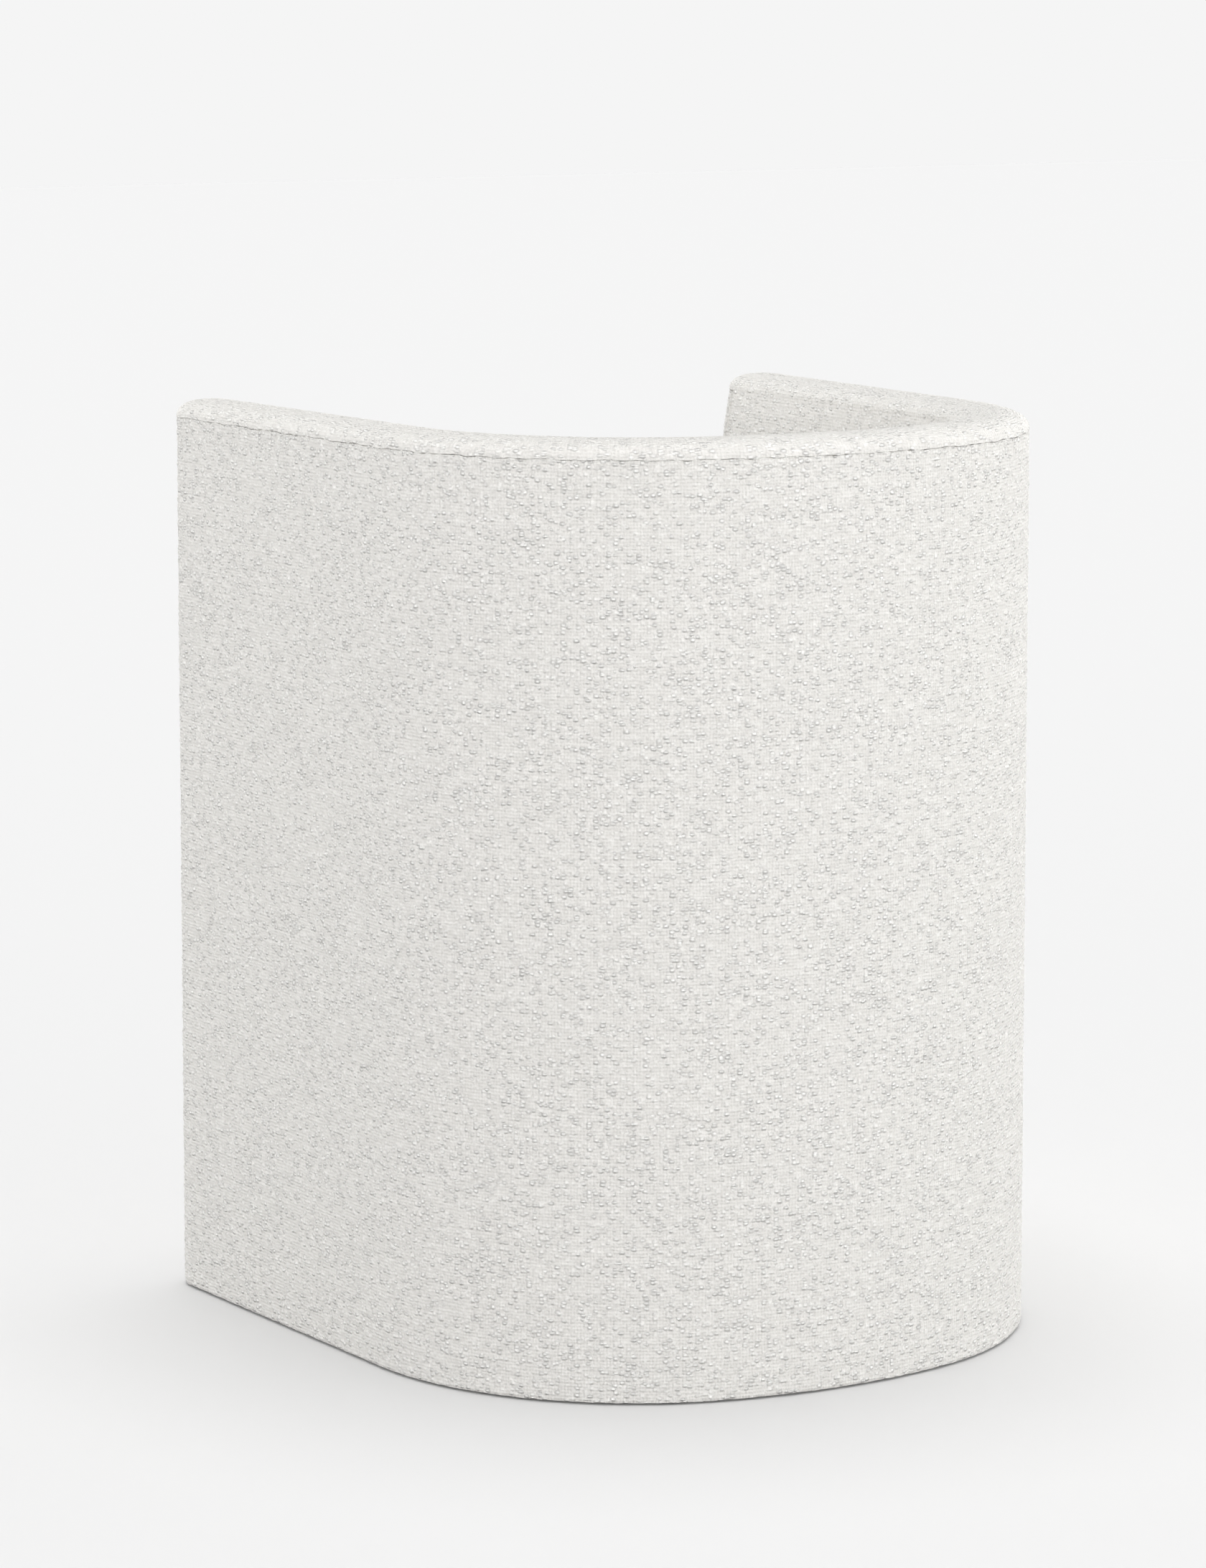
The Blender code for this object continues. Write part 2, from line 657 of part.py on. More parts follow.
def floor_pieces(ring):
    plate("dust_cover", [seat_outline(dust_at, apron_y + hem_turn + GAP)], GLIDE_HEIGHT - GAP - DUST_CLOTH,
          GLIDE_HEIGHT - GAP, "dust_cloth")
    spots = {"front_left": on_wall(1), "front_right": on_wall(last - 1), "rear_left": on_wall(9),
             "rear_right": on_wall(last - 9), "rear_middle": on_wall(middle)}
    for name, place in spots.items():
        glide("glide_" + name, place(glide_at, 0.0))
        bpy.ops.mesh.primitive_cylinder_add(vertices=12, radius=GLIDE_NAIL_RADIUS + GAP,
                                            depth=2 * (GLIDE_NAIL_LENGTH + GAP),
                                            location=place(glide_at, GLIDE_HEIGHT))
        drill = bpy.context.object
        drill.name = "drill_" + name
        for home in drill.users_collection:
            home.objects.unlink(drill)
        chair.objects.link(drill)
        cut(ring, drill)


def glide(name, place):
    """Nail-on floor glide, turned from its half profile."""
    top = GLIDE_HEIGHT - GAP
    profile = [(0.0, 0.0), (GLIDE_RADIUS - 0.001, 0.0), (GLIDE_RADIUS, 0.001), (GLIDE_RADIUS, top),
               (GLIDE_NAIL_RADIUS, top), (GLIDE_NAIL_RADIUS, top + GLIDE_NAIL_LENGTH - 0.002),
               (0.0, top + GLIDE_NAIL_LENGTH)]
    data = bpy.data.meshes.new(name)
    data.from_pydata([(r, 0, z) for r, z in profile], [(k, k + 1) for k in range(len(profile) - 1)], [])
    piece = put(name, data, "glide_nylon")
    piece.location = place
    turn = piece.modifiers.new("turned", "SCREW")
    turn.steps = 16
    turn.render_steps = 16
    turn.use_merge_vertices = True
    turn.merge_threshold = 0.00001
    turn.use_normal_calculate = True
    turn.use_normal_flip = True


for old in list(bpy.data.objects):
    bpy.data.objects.remove(old)
chair = bpy.data.collections.new("barrel_chair")
cutters = bpy.data.collections.new("cutters")
bpy.context.scene.collection.children.link(chair)
bpy.context.scene.collection.children.link(cutters)
material("boucle", (0.80, 0.78, 0.74), 0.95)
material("wadding", (0.86, 0.86, 0.85), 0.95)
material("foam", (0.78, 0.72, 0.50), 0.95)
material("plywood", (0.55, 0.40, 0.24), 0.75)
material("bent_board", (0.42, 0.30, 0.19), 0.75)
material("hardwood", (0.50, 0.34, 0.19), 0.7)
material("webbing", (0.10, 0.10, 0.11), 0.85)
material("felt", (0.35, 0.34, 0.33), 0.95)
material("deck_cloth", (0.74, 0.72, 0.68), 0.9)
material("dust_cloth", (0.03, 0.03, 0.03), 0.95)
material("spring_steel", (0.30, 0.31, 0.32), 0.4, 1.0)
material("zinc_steel", (0.55, 0.56, 0.57), 0.4, 1.0)
material("zip_nylon", (0.75, 0.73, 0.69), 0.7)
material("glide_nylon", (0.05, 0.05, 0.05), 0.5)

base = frame_pieces()
wall_padding()
wall_covers()
front_pieces()
springs_and_deck()
cushion_pieces()
floor_pieces(base)
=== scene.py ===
import math

import bpy
import numpy as np
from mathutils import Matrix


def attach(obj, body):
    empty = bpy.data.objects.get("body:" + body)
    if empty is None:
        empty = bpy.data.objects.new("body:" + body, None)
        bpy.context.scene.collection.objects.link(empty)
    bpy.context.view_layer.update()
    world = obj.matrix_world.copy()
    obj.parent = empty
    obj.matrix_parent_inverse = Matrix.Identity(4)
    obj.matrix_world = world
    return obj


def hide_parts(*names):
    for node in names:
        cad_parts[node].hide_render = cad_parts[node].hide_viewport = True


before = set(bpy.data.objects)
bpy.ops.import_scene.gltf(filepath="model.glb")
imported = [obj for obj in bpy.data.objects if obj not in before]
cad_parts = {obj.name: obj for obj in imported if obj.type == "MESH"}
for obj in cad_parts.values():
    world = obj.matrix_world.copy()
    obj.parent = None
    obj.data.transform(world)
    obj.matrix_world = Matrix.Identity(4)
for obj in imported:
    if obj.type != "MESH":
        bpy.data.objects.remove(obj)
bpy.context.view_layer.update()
print("frame loaded:", len(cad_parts), "nodes")

# Wall of the chair, in metres. In plan it is a U that faces -Y: straight arms, corner arcs and a back arc.
wall = {
    "height": 0.762,
    "bodyWidth": 0.582,
    "depth": 0.594,
    "cornerRadius": 0.244,
    "backRadius": 0.422,
    "armSplay": math.radians(2.35),
    "rim": 0.060,            # thickness at the rim
    "seat": 0.082,           # thickness where the inner face has swelled out
    "swell": 0.100,          # height over which it swells
    "crown": 0.0144,         # rise of the rim above its seam
    "crownPower": 2.5,       # 2 is an ellipse, more is squarer
    "innerFoot": 0.377,      # lower edge of the inner face, under the deck
    "hem": 0.0013,
    "hemTurn": 0.024,
    "noseGap": 0.012,        # turn in radians left open where an arm front meets the inner face
}

halfRim = wall["rim"] / 2
seamZ = wall["height"] - wall["crown"]
splay = wall["armSplay"]
cornerX = wall["bodyWidth"] / 2 - wall["cornerRadius"]
cornerRise = math.sqrt((wall["backRadius"] - wall["cornerRadius"]) ** 2 - cornerX ** 2)
cornerTurn = math.atan2(cornerRise, cornerX)
backY = wall["depth"] / 2 - wall["backRadius"]
cornerY = backY + cornerRise
armIn = np.array([-math.cos(splay), -math.sin(splay)])
armOn = np.array([math.sin(splay), -math.cos(splay)])
armRoot = np.array([cornerX, cornerY]) - armIn * wall["cornerRadius"]
armEndY = -wall["depth"] / 2 + halfRim - armIn[1] * halfRim
armLength = (armRoot[1] - armEndY) / math.cos(splay)
armTip = armRoot + armOn * armLength
backRun = wall["backRadius"] * (math.pi / 2 - cornerTurn)
cornerRun = wall["cornerRadius"] * (cornerTurn - splay)
wallRun = backRun + cornerRun + armLength       # half the outer line, without the arm front
noseRun = halfRim * math.pi / 2
innerNose = wall["seat"] / 2                    # mean radius of the inner quarter of an arm front
noseEnd = noseRun + innerNose * (math.pi / 2 - wall["noseGap"])


def thickness(z):
    drop = np.maximum(seamZ - z, 0.0)
    return wall["rim"] + (wall["seat"] - wall["rim"]) * (1 - np.exp(-drop / wall["swell"]))


def outerLine(run):
    # point and inward direction on the outer line, run metres from the middle of the back towards +X
    side = np.where(run < 0, -1.0, 1.0)
    run = np.abs(run)
    onBack = run <= backRun
    backTurn = math.pi / 2 - run / wall["backRadius"]
    bendTurn = np.clip(cornerTurn - (run - backRun) / wall["cornerRadius"], splay, None)
    turn = np.where(onBack, backTurn, bendTurn)
    radius = np.where(onBack, wall["backRadius"], wall["cornerRadius"])
    along = np.clip(run - backRun - cornerRun, 0.0, None)
    x = np.where(onBack, 0.0, cornerX) + radius * np.cos(turn) + armOn[0] * along
    y = np.where(onBack, backY, cornerY) + radius * np.sin(turn) + armOn[1] * along
    return np.stack([x * side, y], -1), np.stack([-np.cos(turn) * side, -np.sin(turn)], -1)


def placeOnWall(run, depth, z):
    # arrays of one shape; past the arm's end the line goes on round the arm front
    point, inward = outerLine(np.clip(run, -wallRun, wallRun))
    flat = point + inward * depth[..., None]
    past = np.abs(run) - wallRun
    turn = np.where(past < noseRun, past / halfRim, math.pi / 2 + (past - noseRun) / innerNose)
    turn = np.clip(turn, 0.0, math.pi)
    side = np.where(run < 0, -1.0, 1.0)[..., None]
    mirror = np.concatenate([side, np.ones_like(side)], -1)
    across = np.where(np.cos(turn) > 0, halfRim - depth, thickness(z) - halfRim - depth)
    centre = armTip + armIn * halfRim
    nose = centre - armIn * (across * np.cos(turn))[..., None]
    nose = nose + armOn * ((halfRim - depth) * np.sin(turn))[..., None]
    flat = np.where((past > 0)[..., None], nose * mirror, flat)
    return np.concatenate([flat, z[..., None]], -1)


def insideWall(x, y):
    # depth in from the outer line, and run along it, of points between the walls
    side = np.where(x < 0, -1.0, 1.0)
    dx = np.abs(x) - cornerX
    dy = y - cornerY
    turn = np.arctan2(dy, dx)
    onArm = dx * -armOn[0] + dy * -armOn[1] < 0
    onBack = (turn > cornerTurn) & ~onArm
    armDepth = wall["cornerRadius"] + dx * armIn[0] + dy * armIn[1]
    bendDepth = wall["cornerRadius"] - np.hypot(dx, dy)
    backDepth = wall["backRadius"] - np.hypot(x, y - backY)
    depth = np.where(onArm, armDepth, np.where(onBack, backDepth, bendDepth))
    armPlace = backRun + cornerRun + dx * armOn[0] + dy * armOn[1]
    bendPlace = backRun + wall["cornerRadius"] * (cornerTurn - turn)
    backPlace = wall["backRadius"] * np.abs(np.arctan2(np.abs(x), y - backY))
    place = np.where(onArm, armPlace, np.where(onBack, backPlace, bendPlace))
    return depth, place * side


def halfWidth(y, depth):
    # half the width of the plan between the walls at one depth
    foot = armRoot + armIn * depth
    arm = foot[0] + (foot[1] - y) * math.tan(splay)
    bend = cornerX + np.sqrt(np.clip((wall["cornerRadius"] - depth) ** 2 - (y - cornerY) ** 2, 0.0, None))
    back = np.sqrt(np.clip((wall["backRadius"] - depth) ** 2 - (y - backY) ** 2, 0.0, None))
    top = cornerY + (wall["cornerRadius"] - depth) * math.sin(cornerTurn)
    return np.where(y < foot[1], arm, np.where(y < top, bend, back))


# Loop cloth: slub yarns lie across it, each with a steep lower lip, among smaller loops
loopCloth = {
    "tile": 0.72,            # length after which the relief repeats
    "pixel": 0.0005,         # spacing of its samples
    "seed": 11,
    "slubs": {"count": 15000, "length": (0.0038, 0.0085), "width": (0.0026, 0.0044),
              "lift": (0.0003, 0.0010)},
    "loops": {"count": 26000, "length": (0.0022, 0.0040), "width": (0.0020, 0.0032),
              "lift": (0.0001, 0.0005)},
    "endPower": 2.4,         # more makes a yarn's ends blunter
    "sidePower": 0.6,        # less makes its sides steeper
    "lean": 16.0,            # degrees either way from level
    "lip": -0.5,             # where a slub is highest, from -1 at its lower edge to 1
    "sink": 0.00040,         # ground of the cloth below its mean face
    "columnStep": 0.0021,    # spacing of the mesh's points
    "rowStep": 0.0013,
}


def clothRelief():
    pixel = loopCloth["pixel"]
    count = round(loopCloth["tile"] / pixel)
    height = np.zeros((count, count))
    rng = np.random.default_rng(loopCloth["seed"])
    for kind in (loopCloth["loops"], loopCloth["slubs"]):
        for k in range(kind["count"]):
            x, y = rng.uniform(0, loopCloth["tile"], 2)
            half = rng.uniform(*kind["length"]) / 2
            wide = rng.uniform(*kind["width"]) / 2
            lift = rng.uniform(*kind["lift"])
            lean = math.radians(rng.normal(0, loopCloth["lean"]))
            reach = int(max(half, wide) / pixel) + 2
            column = int(x / pixel) + np.arange(-reach, reach + 1)
            row = int(y / pixel) + np.arange(-reach, reach + 1)
            dx = column * pixel - x
            dy = (row * pixel - y)[:, None]
            s = (dx * math.cos(lean) + dy * math.sin(lean)) / half
            t = (dy * math.cos(lean) - dx * math.sin(lean)) / wide - loopCloth["lip"]
            t = t / np.where(t < 0, 1 + loopCloth["lip"], 1 - loopCloth["lip"])
            ends = np.clip(1 - np.abs(s) ** loopCloth["endPower"], 0, 1)
            sides = np.clip(1 - t * t, 0, 1) ** loopCloth["sidePower"]
            spot = np.ix_(row % count, column % count)
            height[spot] = np.maximum(height[spot], lift * ends * sides)
    return height


relief = clothRelief()
print("cloth relief:", relief.shape, "mean lift", round(relief.mean() * 1000, 3), "mm")


def readRelief(u, v):
    # smooth reading between the relief's samples, which repeats every tile
    count = len(relief)
    x = u / loopCloth["pixel"]
    y = v / loopCloth["pixel"]
    x0 = np.floor(x).astype(int)
    y0 = np.floor(y).astype(int)
    fx = x - x0
    fy = y - y0
    left, right = x0 % count, (x0 + 1) % count
    low, high = y0 % count, (y0 + 1) % count
    below = relief[low, left] * (1 - fx) + relief[low, right] * fx
    above = relief[high, left] * (1 - fx) + relief[high, right] * fx
    return below * (1 - fy) + above * fy


def ease(value, low, high):
    # smooth step from 0 at low to 1 at high
    t = np.clip((value - low) / (high - low), 0.0, 1.0)
    return t * t * (3 - 2 * t)


def wander(u, wave, seed):
    # slow irregular line along u, from -1 to 1
    rng = np.random.default_rng(seed)
    total = np.zeros_like(u)
    waves = 6
    for k in range(waves):
        total += np.sin(u * 2 * math.pi / (wave * rng.uniform(0.5, 2.0)) + rng.uniform(0, 2 * math.pi))
    return np.clip(total / (waves / 2), -1, 1)


def layMap(mesh, layer, flat):
    # one place on the map for each point of the mesh
    corner = np.empty(len(mesh.loops), np.int32)
    mesh.loops.foreach_get("vertex_index", corner)
    layer.data.foreach_set("uv", flat[corner].reshape(-1).astype(np.float32))


def clothSheet(name, places, u, v, pile, bakeBox=(0.0, 0.0, 1.0, 1.0)):
    # grid primitive with its points moved onto the shape; u and v are metres along the cloth
    rows, columns = u.shape
    bpy.ops.object.select_all(action="DESELECT")
    bpy.ops.mesh.primitive_grid_add(x_subdivisions=columns - 1, y_subdivisions=rows - 1, size=1)
    sheet = bpy.context.object
    sheet.name = name
    mesh = sheet.data
    mesh.vertices.foreach_set("co", places.reshape(-1).astype(np.float32))
    mesh.uv_layers[0].name = "cloth"
    layMap(mesh, mesh.uv_layers["cloth"], np.stack([u.reshape(-1), v.reshape(-1)], -1))
    column = bakeBox[0] + (bakeBox[2] - bakeBox[0]) * np.tile(np.linspace(0, 1, columns), rows)
    row = bakeBox[1] + (bakeBox[3] - bakeBox[1]) * np.repeat(np.linspace(0, 1, rows), columns)
    layMap(mesh, mesh.uv_layers.new(name="OFBake"), np.stack([column, row], -1))
    keepPile(mesh, pile)
    mesh.shade_smooth()
    mesh.update()
    return sheet


def keepPile(mesh, pile):
    # height of the loops at each point, which the cloth's colour reads to paint shade into the low ground and
    # light onto the high pile
    shade = mesh.attributes.new("pile", "FLOAT", "POINT")
    shade.data.foreach_set("value", np.asarray(pile).reshape(-1).astype(np.float32))


def faceOut(sheet, spot, outward):
    # turns the faces round if the one nearest a spot looks the wrong way
    mesh = sheet.data
    centres = np.empty(len(mesh.polygons) * 3)
    mesh.polygons.foreach_get("center", centres)
    nearest = np.argmin(((centres.reshape(-1, 3) - np.array(spot)) ** 2).sum(-1))
    if mesh.polygons[int(nearest)].normal.dot(outward) < 0:
        mesh.flip_normals()


def mergePoints(piece, distance):
    bpy.context.view_layer.objects.active = piece
    bpy.ops.object.mode_set(mode="EDIT")
    bpy.ops.mesh.select_all(action="SELECT")
    bpy.ops.mesh.remove_doubles(threshold=distance)
    bpy.ops.object.mode_set(mode="OBJECT")


def stepsBetween(start, end, step):
    # even places from start to end, about a step apart
    return np.linspace(start, end, max(int(round(abs(end - start) / step)), 2) + 1)


def measured(points):
    # length along a line of section points, and its outward normals
    points = np.array(points)
    run = np.concatenate([[0.0], np.cumsum(np.linalg.norm(np.diff(points, axis=0), axis=1))])
    along = np.gradient(points, run, axis=0)
    along /= np.linalg.norm(along, axis=1)[:, None]
    return run, points, np.stack([along[:, 1], -along[:, 0]], -1)


def quarter(steps):
    # angles of a quarter turn
    return [math.pi / 2 * k / steps for k in range(steps + 1)]


def edgeDrop(distance, roll):
    # how far a turned-in cloth edge has dropped at a distance from its end
    near = np.clip(roll - distance, 0.0, roll)
    return roll - np.sqrt(np.clip(roll * roll - near * near, 0.0, None))


def withEdges(low, high, step):
    # even columns between two turned-in edges, finer at the edges
    edge = np.array([0.0, 0.0004, 0.0009, 0.0016])
    even = 0.0024
    return np.concatenate([low + edge, stepsBetween(low + even, high - even, step), high - edge[::-1]])


# Seam: both covers turn in side by side along the outer edge of the rim
seam = {
    "roll": 0.0007,          # radius of each turned-in edge
    "rollSteps": 5,
    "tuck": 0.006,           # how far the edges go in
    "gap": 0.0001,
    "sway": 0.0006,          # how far the seam strays from level
    "swayWave": 0.04,
    "swaySeed": 3,
    "fade": (0.003, 0.008),  # lengths from the hidden edge between which the loops come up
}


def seamSway(line):
    return seam["sway"] * wander(line, seam["swayWave"], seam["swaySeed"])


def onSection(values, points, normals, lift):
    # a lift square to the section added to one of its two coordinates
    return points[:, values][:, None] + normals[:, values][:, None] * lift


# Outside cover: one sheet round the back and both arms, turned in at the seam and under at the hem
outsideCover = {
    "hemRoll": 0.003,        # radius of the hem's bend
    "hemRollSteps": 4,
    "hemStep": 0.004,
    "hemSlack": 0.001,
    "pressed": 0.15,         # share of the loops' height left under the hem
    "swayReach": 0.02,       # height below the seam that strays with it
}


def aboveHem(z):
    # 0 under the hem, 1 above its bend
    return ease(z, wall["hem"] - outsideCover["hemSlack"], wall["hem"] + outsideCover["hemRoll"])


def hemBend(start):
    # section points round the hem's bend and in under the chair
    hem, roll, steps = wall["hem"], outsideCover["hemRoll"], outsideCover["hemRollSteps"]
    points = [(start + roll - roll * math.cos(a), hem + roll - roll * math.sin(a)) for a in quarter(steps)]
    under = stepsBetween(start + roll, start + wall["hemTurn"], outsideCover["hemStep"])[1:]
    return points + [(place, hem) for place in under]


def outsideSection():
    roll, tuck = seam["roll"], seam["tuck"]
    top = seamZ - seam["gap"] / 2
    hemTop = wall["hem"] + outsideCover["hemRoll"]
    points = [(roll + tuck, top), (roll + tuck / 3, top)]
    points += [(roll - roll * math.sin(a), top - roll + roll * math.cos(a))
               for a in quarter(seam["rollSteps"])]
    points += [(0.0, z) for z in stepsBetween(top - roll, hemTop, loopCloth["rowStep"])[1:-1]]
    return points + hemBend(0.0)


def makeOutsideCover():
    run, points, normals = measured(outsideSection())
    end = wallRun + noseEnd
    u, v = np.meshgrid(withEdges(-end, end, loopCloth["columnStep"]), run[-1] - run)
    pile = readRelief(u, v)
    pressed = outsideCover["pressed"] + (1 - outsideCover["pressed"]) * aboveHem(points[:, 1])
    lift = (pile - loopCloth["sink"]) * (pressed * ease(run, *seam["fade"]))[:, None]
    lift -= edgeDrop(end - np.abs(u), seam["roll"])
    z = onSection(1, points, normals, lift)
    z += seamSway(u) * ease(z, seamZ - outsideCover["swayReach"], seamZ)
    places = placeOnWall(u, onSection(0, points, normals, lift), z)
    cover = clothSheet("outsideCover", places, u, v, pile)
    faceOut(cover, (0, wall["depth"] / 2, 0.4), (0, 1, 0))
    return cover


# Inside cover: one sheet from the seam over the rim and down the inner face, with a dome at each arm front
insideCover = {
    "crownSteps": 60,
    "domeSteps": 44,
    "columnStep": 0.0032,
    "rowStep": 0.0013,
    "frontRoll": 0.0018,               # radius of its edges at the arm fronts
    "frontFade": (0.002, -0.004),      # heights about the seam between which those edges start
    "innerStart": 0.004,               # height above the seam where the crown gives way to the inner face
    "shrink": 0.84,                    # its mean length over that of the outer line
    "slip": 0.21,                      # where on the relief it is cut
    "swayReach": (0.020, 0.004),       # lengths from the hidden edge between which it strays with the seam
    "bakeBox": (0.0, 0.12, 1.0, 1.0),
    "domeBake": {1: (0.0, 0.0, 0.45, 0.10), -1: (0.5, 0.0, 0.95, 0.10)},
}


def crownLine():
    # outer half of the rim's section, from the turned-in seam edge up to the ridge
    roll, tuck = seam["roll"], seam["tuck"]
    foot = seamZ + seam["gap"] / 2
    points = [(roll + tuck, foot), (roll + tuck / 3, foot)]
    points += [(roll - roll * math.sin(a), foot + roll - roll * math.cos(a))
               for a in quarter(seam["rollSteps"])]
    power = 2 / wall["crownPower"]
    for k in range(insideCover["crownSteps"] + 1):
        a = math.pi / 2 * k / insideCover["crownSteps"]
        z = seamZ + wall["crown"] * math.sin(a) ** power
        if z > foot + roll * 1.3:
            points.append((halfRim * (1 - max(math.cos(a), 0.0) ** power), z))
    return points


def evenly(points, step):
    # the same line with all but its seam edge laid out again in even steps
    points = np.array(points)
    run = np.concatenate([[0.0], np.cumsum(np.linalg.norm(np.diff(points, axis=0), axis=1))])
    keep = run < seam["tuck"] + 4 * seam["roll"]
    runs = np.concatenate([run[keep], stepsBetween(run[keep][-1], run[-1], step)[1:]])
    return np.stack([np.interp(runs, run, points[:, 0]), np.interp(runs, run, points[:, 1])], -1)


def makeInsideCover():
    outer = evenly(crownLine(), insideCover["rowStep"])
    ridge = len(outer) - 1
    inner = [(wall["rim"] - depth, z) for depth, z in outer[::-1][1:]
             if z > seamZ + insideCover["innerStart"]]
    face = stepsBetween(inner[-1][1], wall["innerFoot"], insideCover["rowStep"])[1:]
    points = list(map(tuple, outer)) + inner + [(float(thickness(z)), z) for z in face]
    run, points, normals = measured(points)
    normals[ridge] = (0.0, 1.0)
    u, v = np.meshgrid(withEdges(-wallRun, wallRun, insideCover["columnStep"]), -run)
    pile = readRelief(u * insideCover["shrink"] + insideCover["slip"], v)
    lift = (pile - loopCloth["sink"]) * ease(run, *seam["fade"])[:, None]
    start, full = insideCover["frontFade"]
    below = ease(points[:, 1], seamZ + start, seamZ + full) * (run > run[ridge])
    lift -= edgeDrop(wallRun - np.abs(u), insideCover["frontRoll"]) * below[:, None]
    z = onSection(1, points, normals, lift)
    z += seamSway(u) * ease(run, *insideCover["swayReach"])[:, None]
    places = placeOnWall(u, onSection(0, points, normals, lift), z)
    cover = clothSheet("insideCover", places, u * insideCover["shrink"], v, pile, insideCover["bakeBox"])
    faceOut(cover, (0, wall["depth"] / 2 - wall["rim"], 0.6), (0, -1, 0))
    half = slice(0, ridge + 1)
    domes = [makeDome(side, run[half], points[half], normals[half]) for side in (1, -1)]
    bpy.ops.object.select_all(action="DESELECT")
    for piece in domes + [cover]:
        piece.select_set(True)
    bpy.context.view_layer.objects.active = cover
    bpy.ops.object.join()
    mergePoints(cover, 0.00002)
    return cover


def makeDome(side, run, points, normals):
    # half turn of the rim's outer section about its ridge, at one arm front
    turn, reach = np.meshgrid(np.linspace(0.0, math.pi, insideCover["domeSteps"] + 1), run[-1] - run)
    u = side * (wallRun + reach * np.sin(turn))
    v = reach * np.cos(turn) - run[-1]
    pile = readRelief(u * insideCover["shrink"] + insideCover["slip"], v)
    lift = (pile - loopCloth["sink"]) * ease(run, *seam["fade"])[:, None]
    lift[-1] = lift[-1, 0]
    z = onSection(1, points, normals, lift)
    line = side * (wallRun + halfRim * turn)
    z += seamSway(line) * ease(run, *insideCover["swayReach"])[:, None]
    centre = armTip + armIn * halfRim
    out = -armIn * np.cos(turn)[..., None] + armOn * np.sin(turn)[..., None]
    across = halfRim - onSection(0, points, normals, lift)
    flat = (centre + out * across[..., None]) * np.array([side, 1.0])
    places = np.concatenate([flat, z[..., None]], -1)
    name = "armDomeLeft" if side > 0 else "armDomeRight"
    dome = clothSheet(name, places, u * insideCover["shrink"], v, pile, insideCover["domeBake"][side])
    faceOut(dome, (side * centre[0], -wall["depth"] / 2, seamZ + 0.008), (0, -1, 0))
    return dome


# Front cover: apron between the arms, from the hem up and back over the front of the deck
frontCover = {
    "face": -0.2815,
    "lipTop": 0.3947,
    "lipBack": 0.070,
    "edgeRoll": 0.008,
    "edgeSteps": 8,
    "ends": 0.0826,          # depth into the arms where it is tucked
    "endRoll": 0.002,
    "lipStep": 0.003,
    "lipFade": 0.002,        # height below the lip over which the loops are pressed flat
    "lipSink": 0.0004,
    "slip": (0.37, 0.11),    # where on the relief it is cut
    "rowStep": 0.0014,
    "columnStep": 0.0032,
}


def frontSection():
    face, top, roll = frontCover["face"], frontCover["lipTop"], frontCover["edgeRoll"]
    hemTop = wall["hem"] + outsideCover["hemRoll"]
    lip = stepsBetween(face + frontCover["lipBack"], face + roll, frontCover["lipStep"])[:-1]
    points = [(y, top) for y in lip]
    points += [(face + roll - roll * math.sin(a), top - roll + roll * math.cos(a))
               for a in quarter(frontCover["edgeSteps"])]
    points += [(face, z) for z in stepsBetween(top - roll, hemTop, frontCover["rowStep"])[1:-1]]
    return points + hemBend(face)


def makeFrontCover():
    run, points, normals = measured(frontSection())
    reach = halfWidth(points[:, 0], frontCover["ends"])
    middle = float(reach.mean())
    across, v = np.meshgrid(withEdges(-middle, middle, frontCover["columnStep"]), -run)
    u = across * (reach / middle)[:, None]
    pile = readRelief(u + frontCover["slip"][0], v + frontCover["slip"][1])
    onLip = ease(points[:, 1], frontCover["lipTop"] - frontCover["lipFade"], frontCover["lipTop"])
    free = (1 - outsideCover["pressed"]) * aboveHem(points[:, 1]) * (1 - onLip)
    lift = (pile - loopCloth["sink"]) * (outsideCover["pressed"] + free)[:, None]
    lift -= frontCover["lipSink"] * onLip[:, None]
    lift -= edgeDrop(middle - np.abs(across), frontCover["endRoll"])
    places = np.stack([u, onSection(0, points, normals, lift), onSection(1, points, normals, lift)], -1)
    cover = clothSheet("frontCover", places, u, v, pile)
    faceOut(cover, (0, frontCover["face"], 0.2), (0, -1, 0))
    return cover


# Seat cushion: boxed, with a foam fill; blown up as cloth, then its loops are raised
seatCushion = {
    "low": 0.3950,
    "high": 0.4750,
    "crown": 0.020,
    "inset": 0.085,          # depth of its edge from the wall's outer line
    "front": -0.287,
    "smaller": 0.006,        # how much smaller it starts than it ends
    "bandEdge": 0.014,       # seam's distance from the top and from the underside
    "sidePoints": 80,
    "cornerPoints": 8,
    "frontPoints": 24,
    "voxel": 0.005,
    "pressure": 4.0,
    "quality": 6,
    "frames": 20,
    "seamHold": 0.6,         # how firmly the seams are held
    "seamReach": (0.012, 0.004),       # in from the edge, and up and down, that counts as seam
    "cap": 0.014,            # furthest that a point may move
    "easeTimes": (10, 4),    # smoothing before and after the fine mesh
    "cover": 0.0034,         # least height of the cover over its fill
    "fineVoxel": 0.0024,
    "clear": 0.0838,         # nearest depth to the wall
    "groove": (0.0012, 0.0034, 1.8),   # depth, width and sharpness of the pressed-in seams
    "grooveTurn": (0.85, 0.60),        # upright share of the normal between which a groove comes in
    "bandTurn": (0.45, 0.75),          # and between which the band gives way to the flat faces
    "flatTurn": 0.6,
    "frontTurn": -0.75,
    "flatSlip": 0.1,         # where on the relief the flat faces and the band are cut
    "bandSlip": 0.3,
    "underRise": (0.004, 0.010),       # heights over the underside between which the loops come up
    "underPile": 0.2,        # share of their height below that
    "underSlack": 0.0001,
}

# Slot for the zip in the back of the cushion's band: each pair is where it ends and where it is full
zipSlot = {"level": 0.435, "rise": (0.0085, 0.0058), "half": (0.0870, 0.0820), "turn": 0.4, "floor": 0.0905}


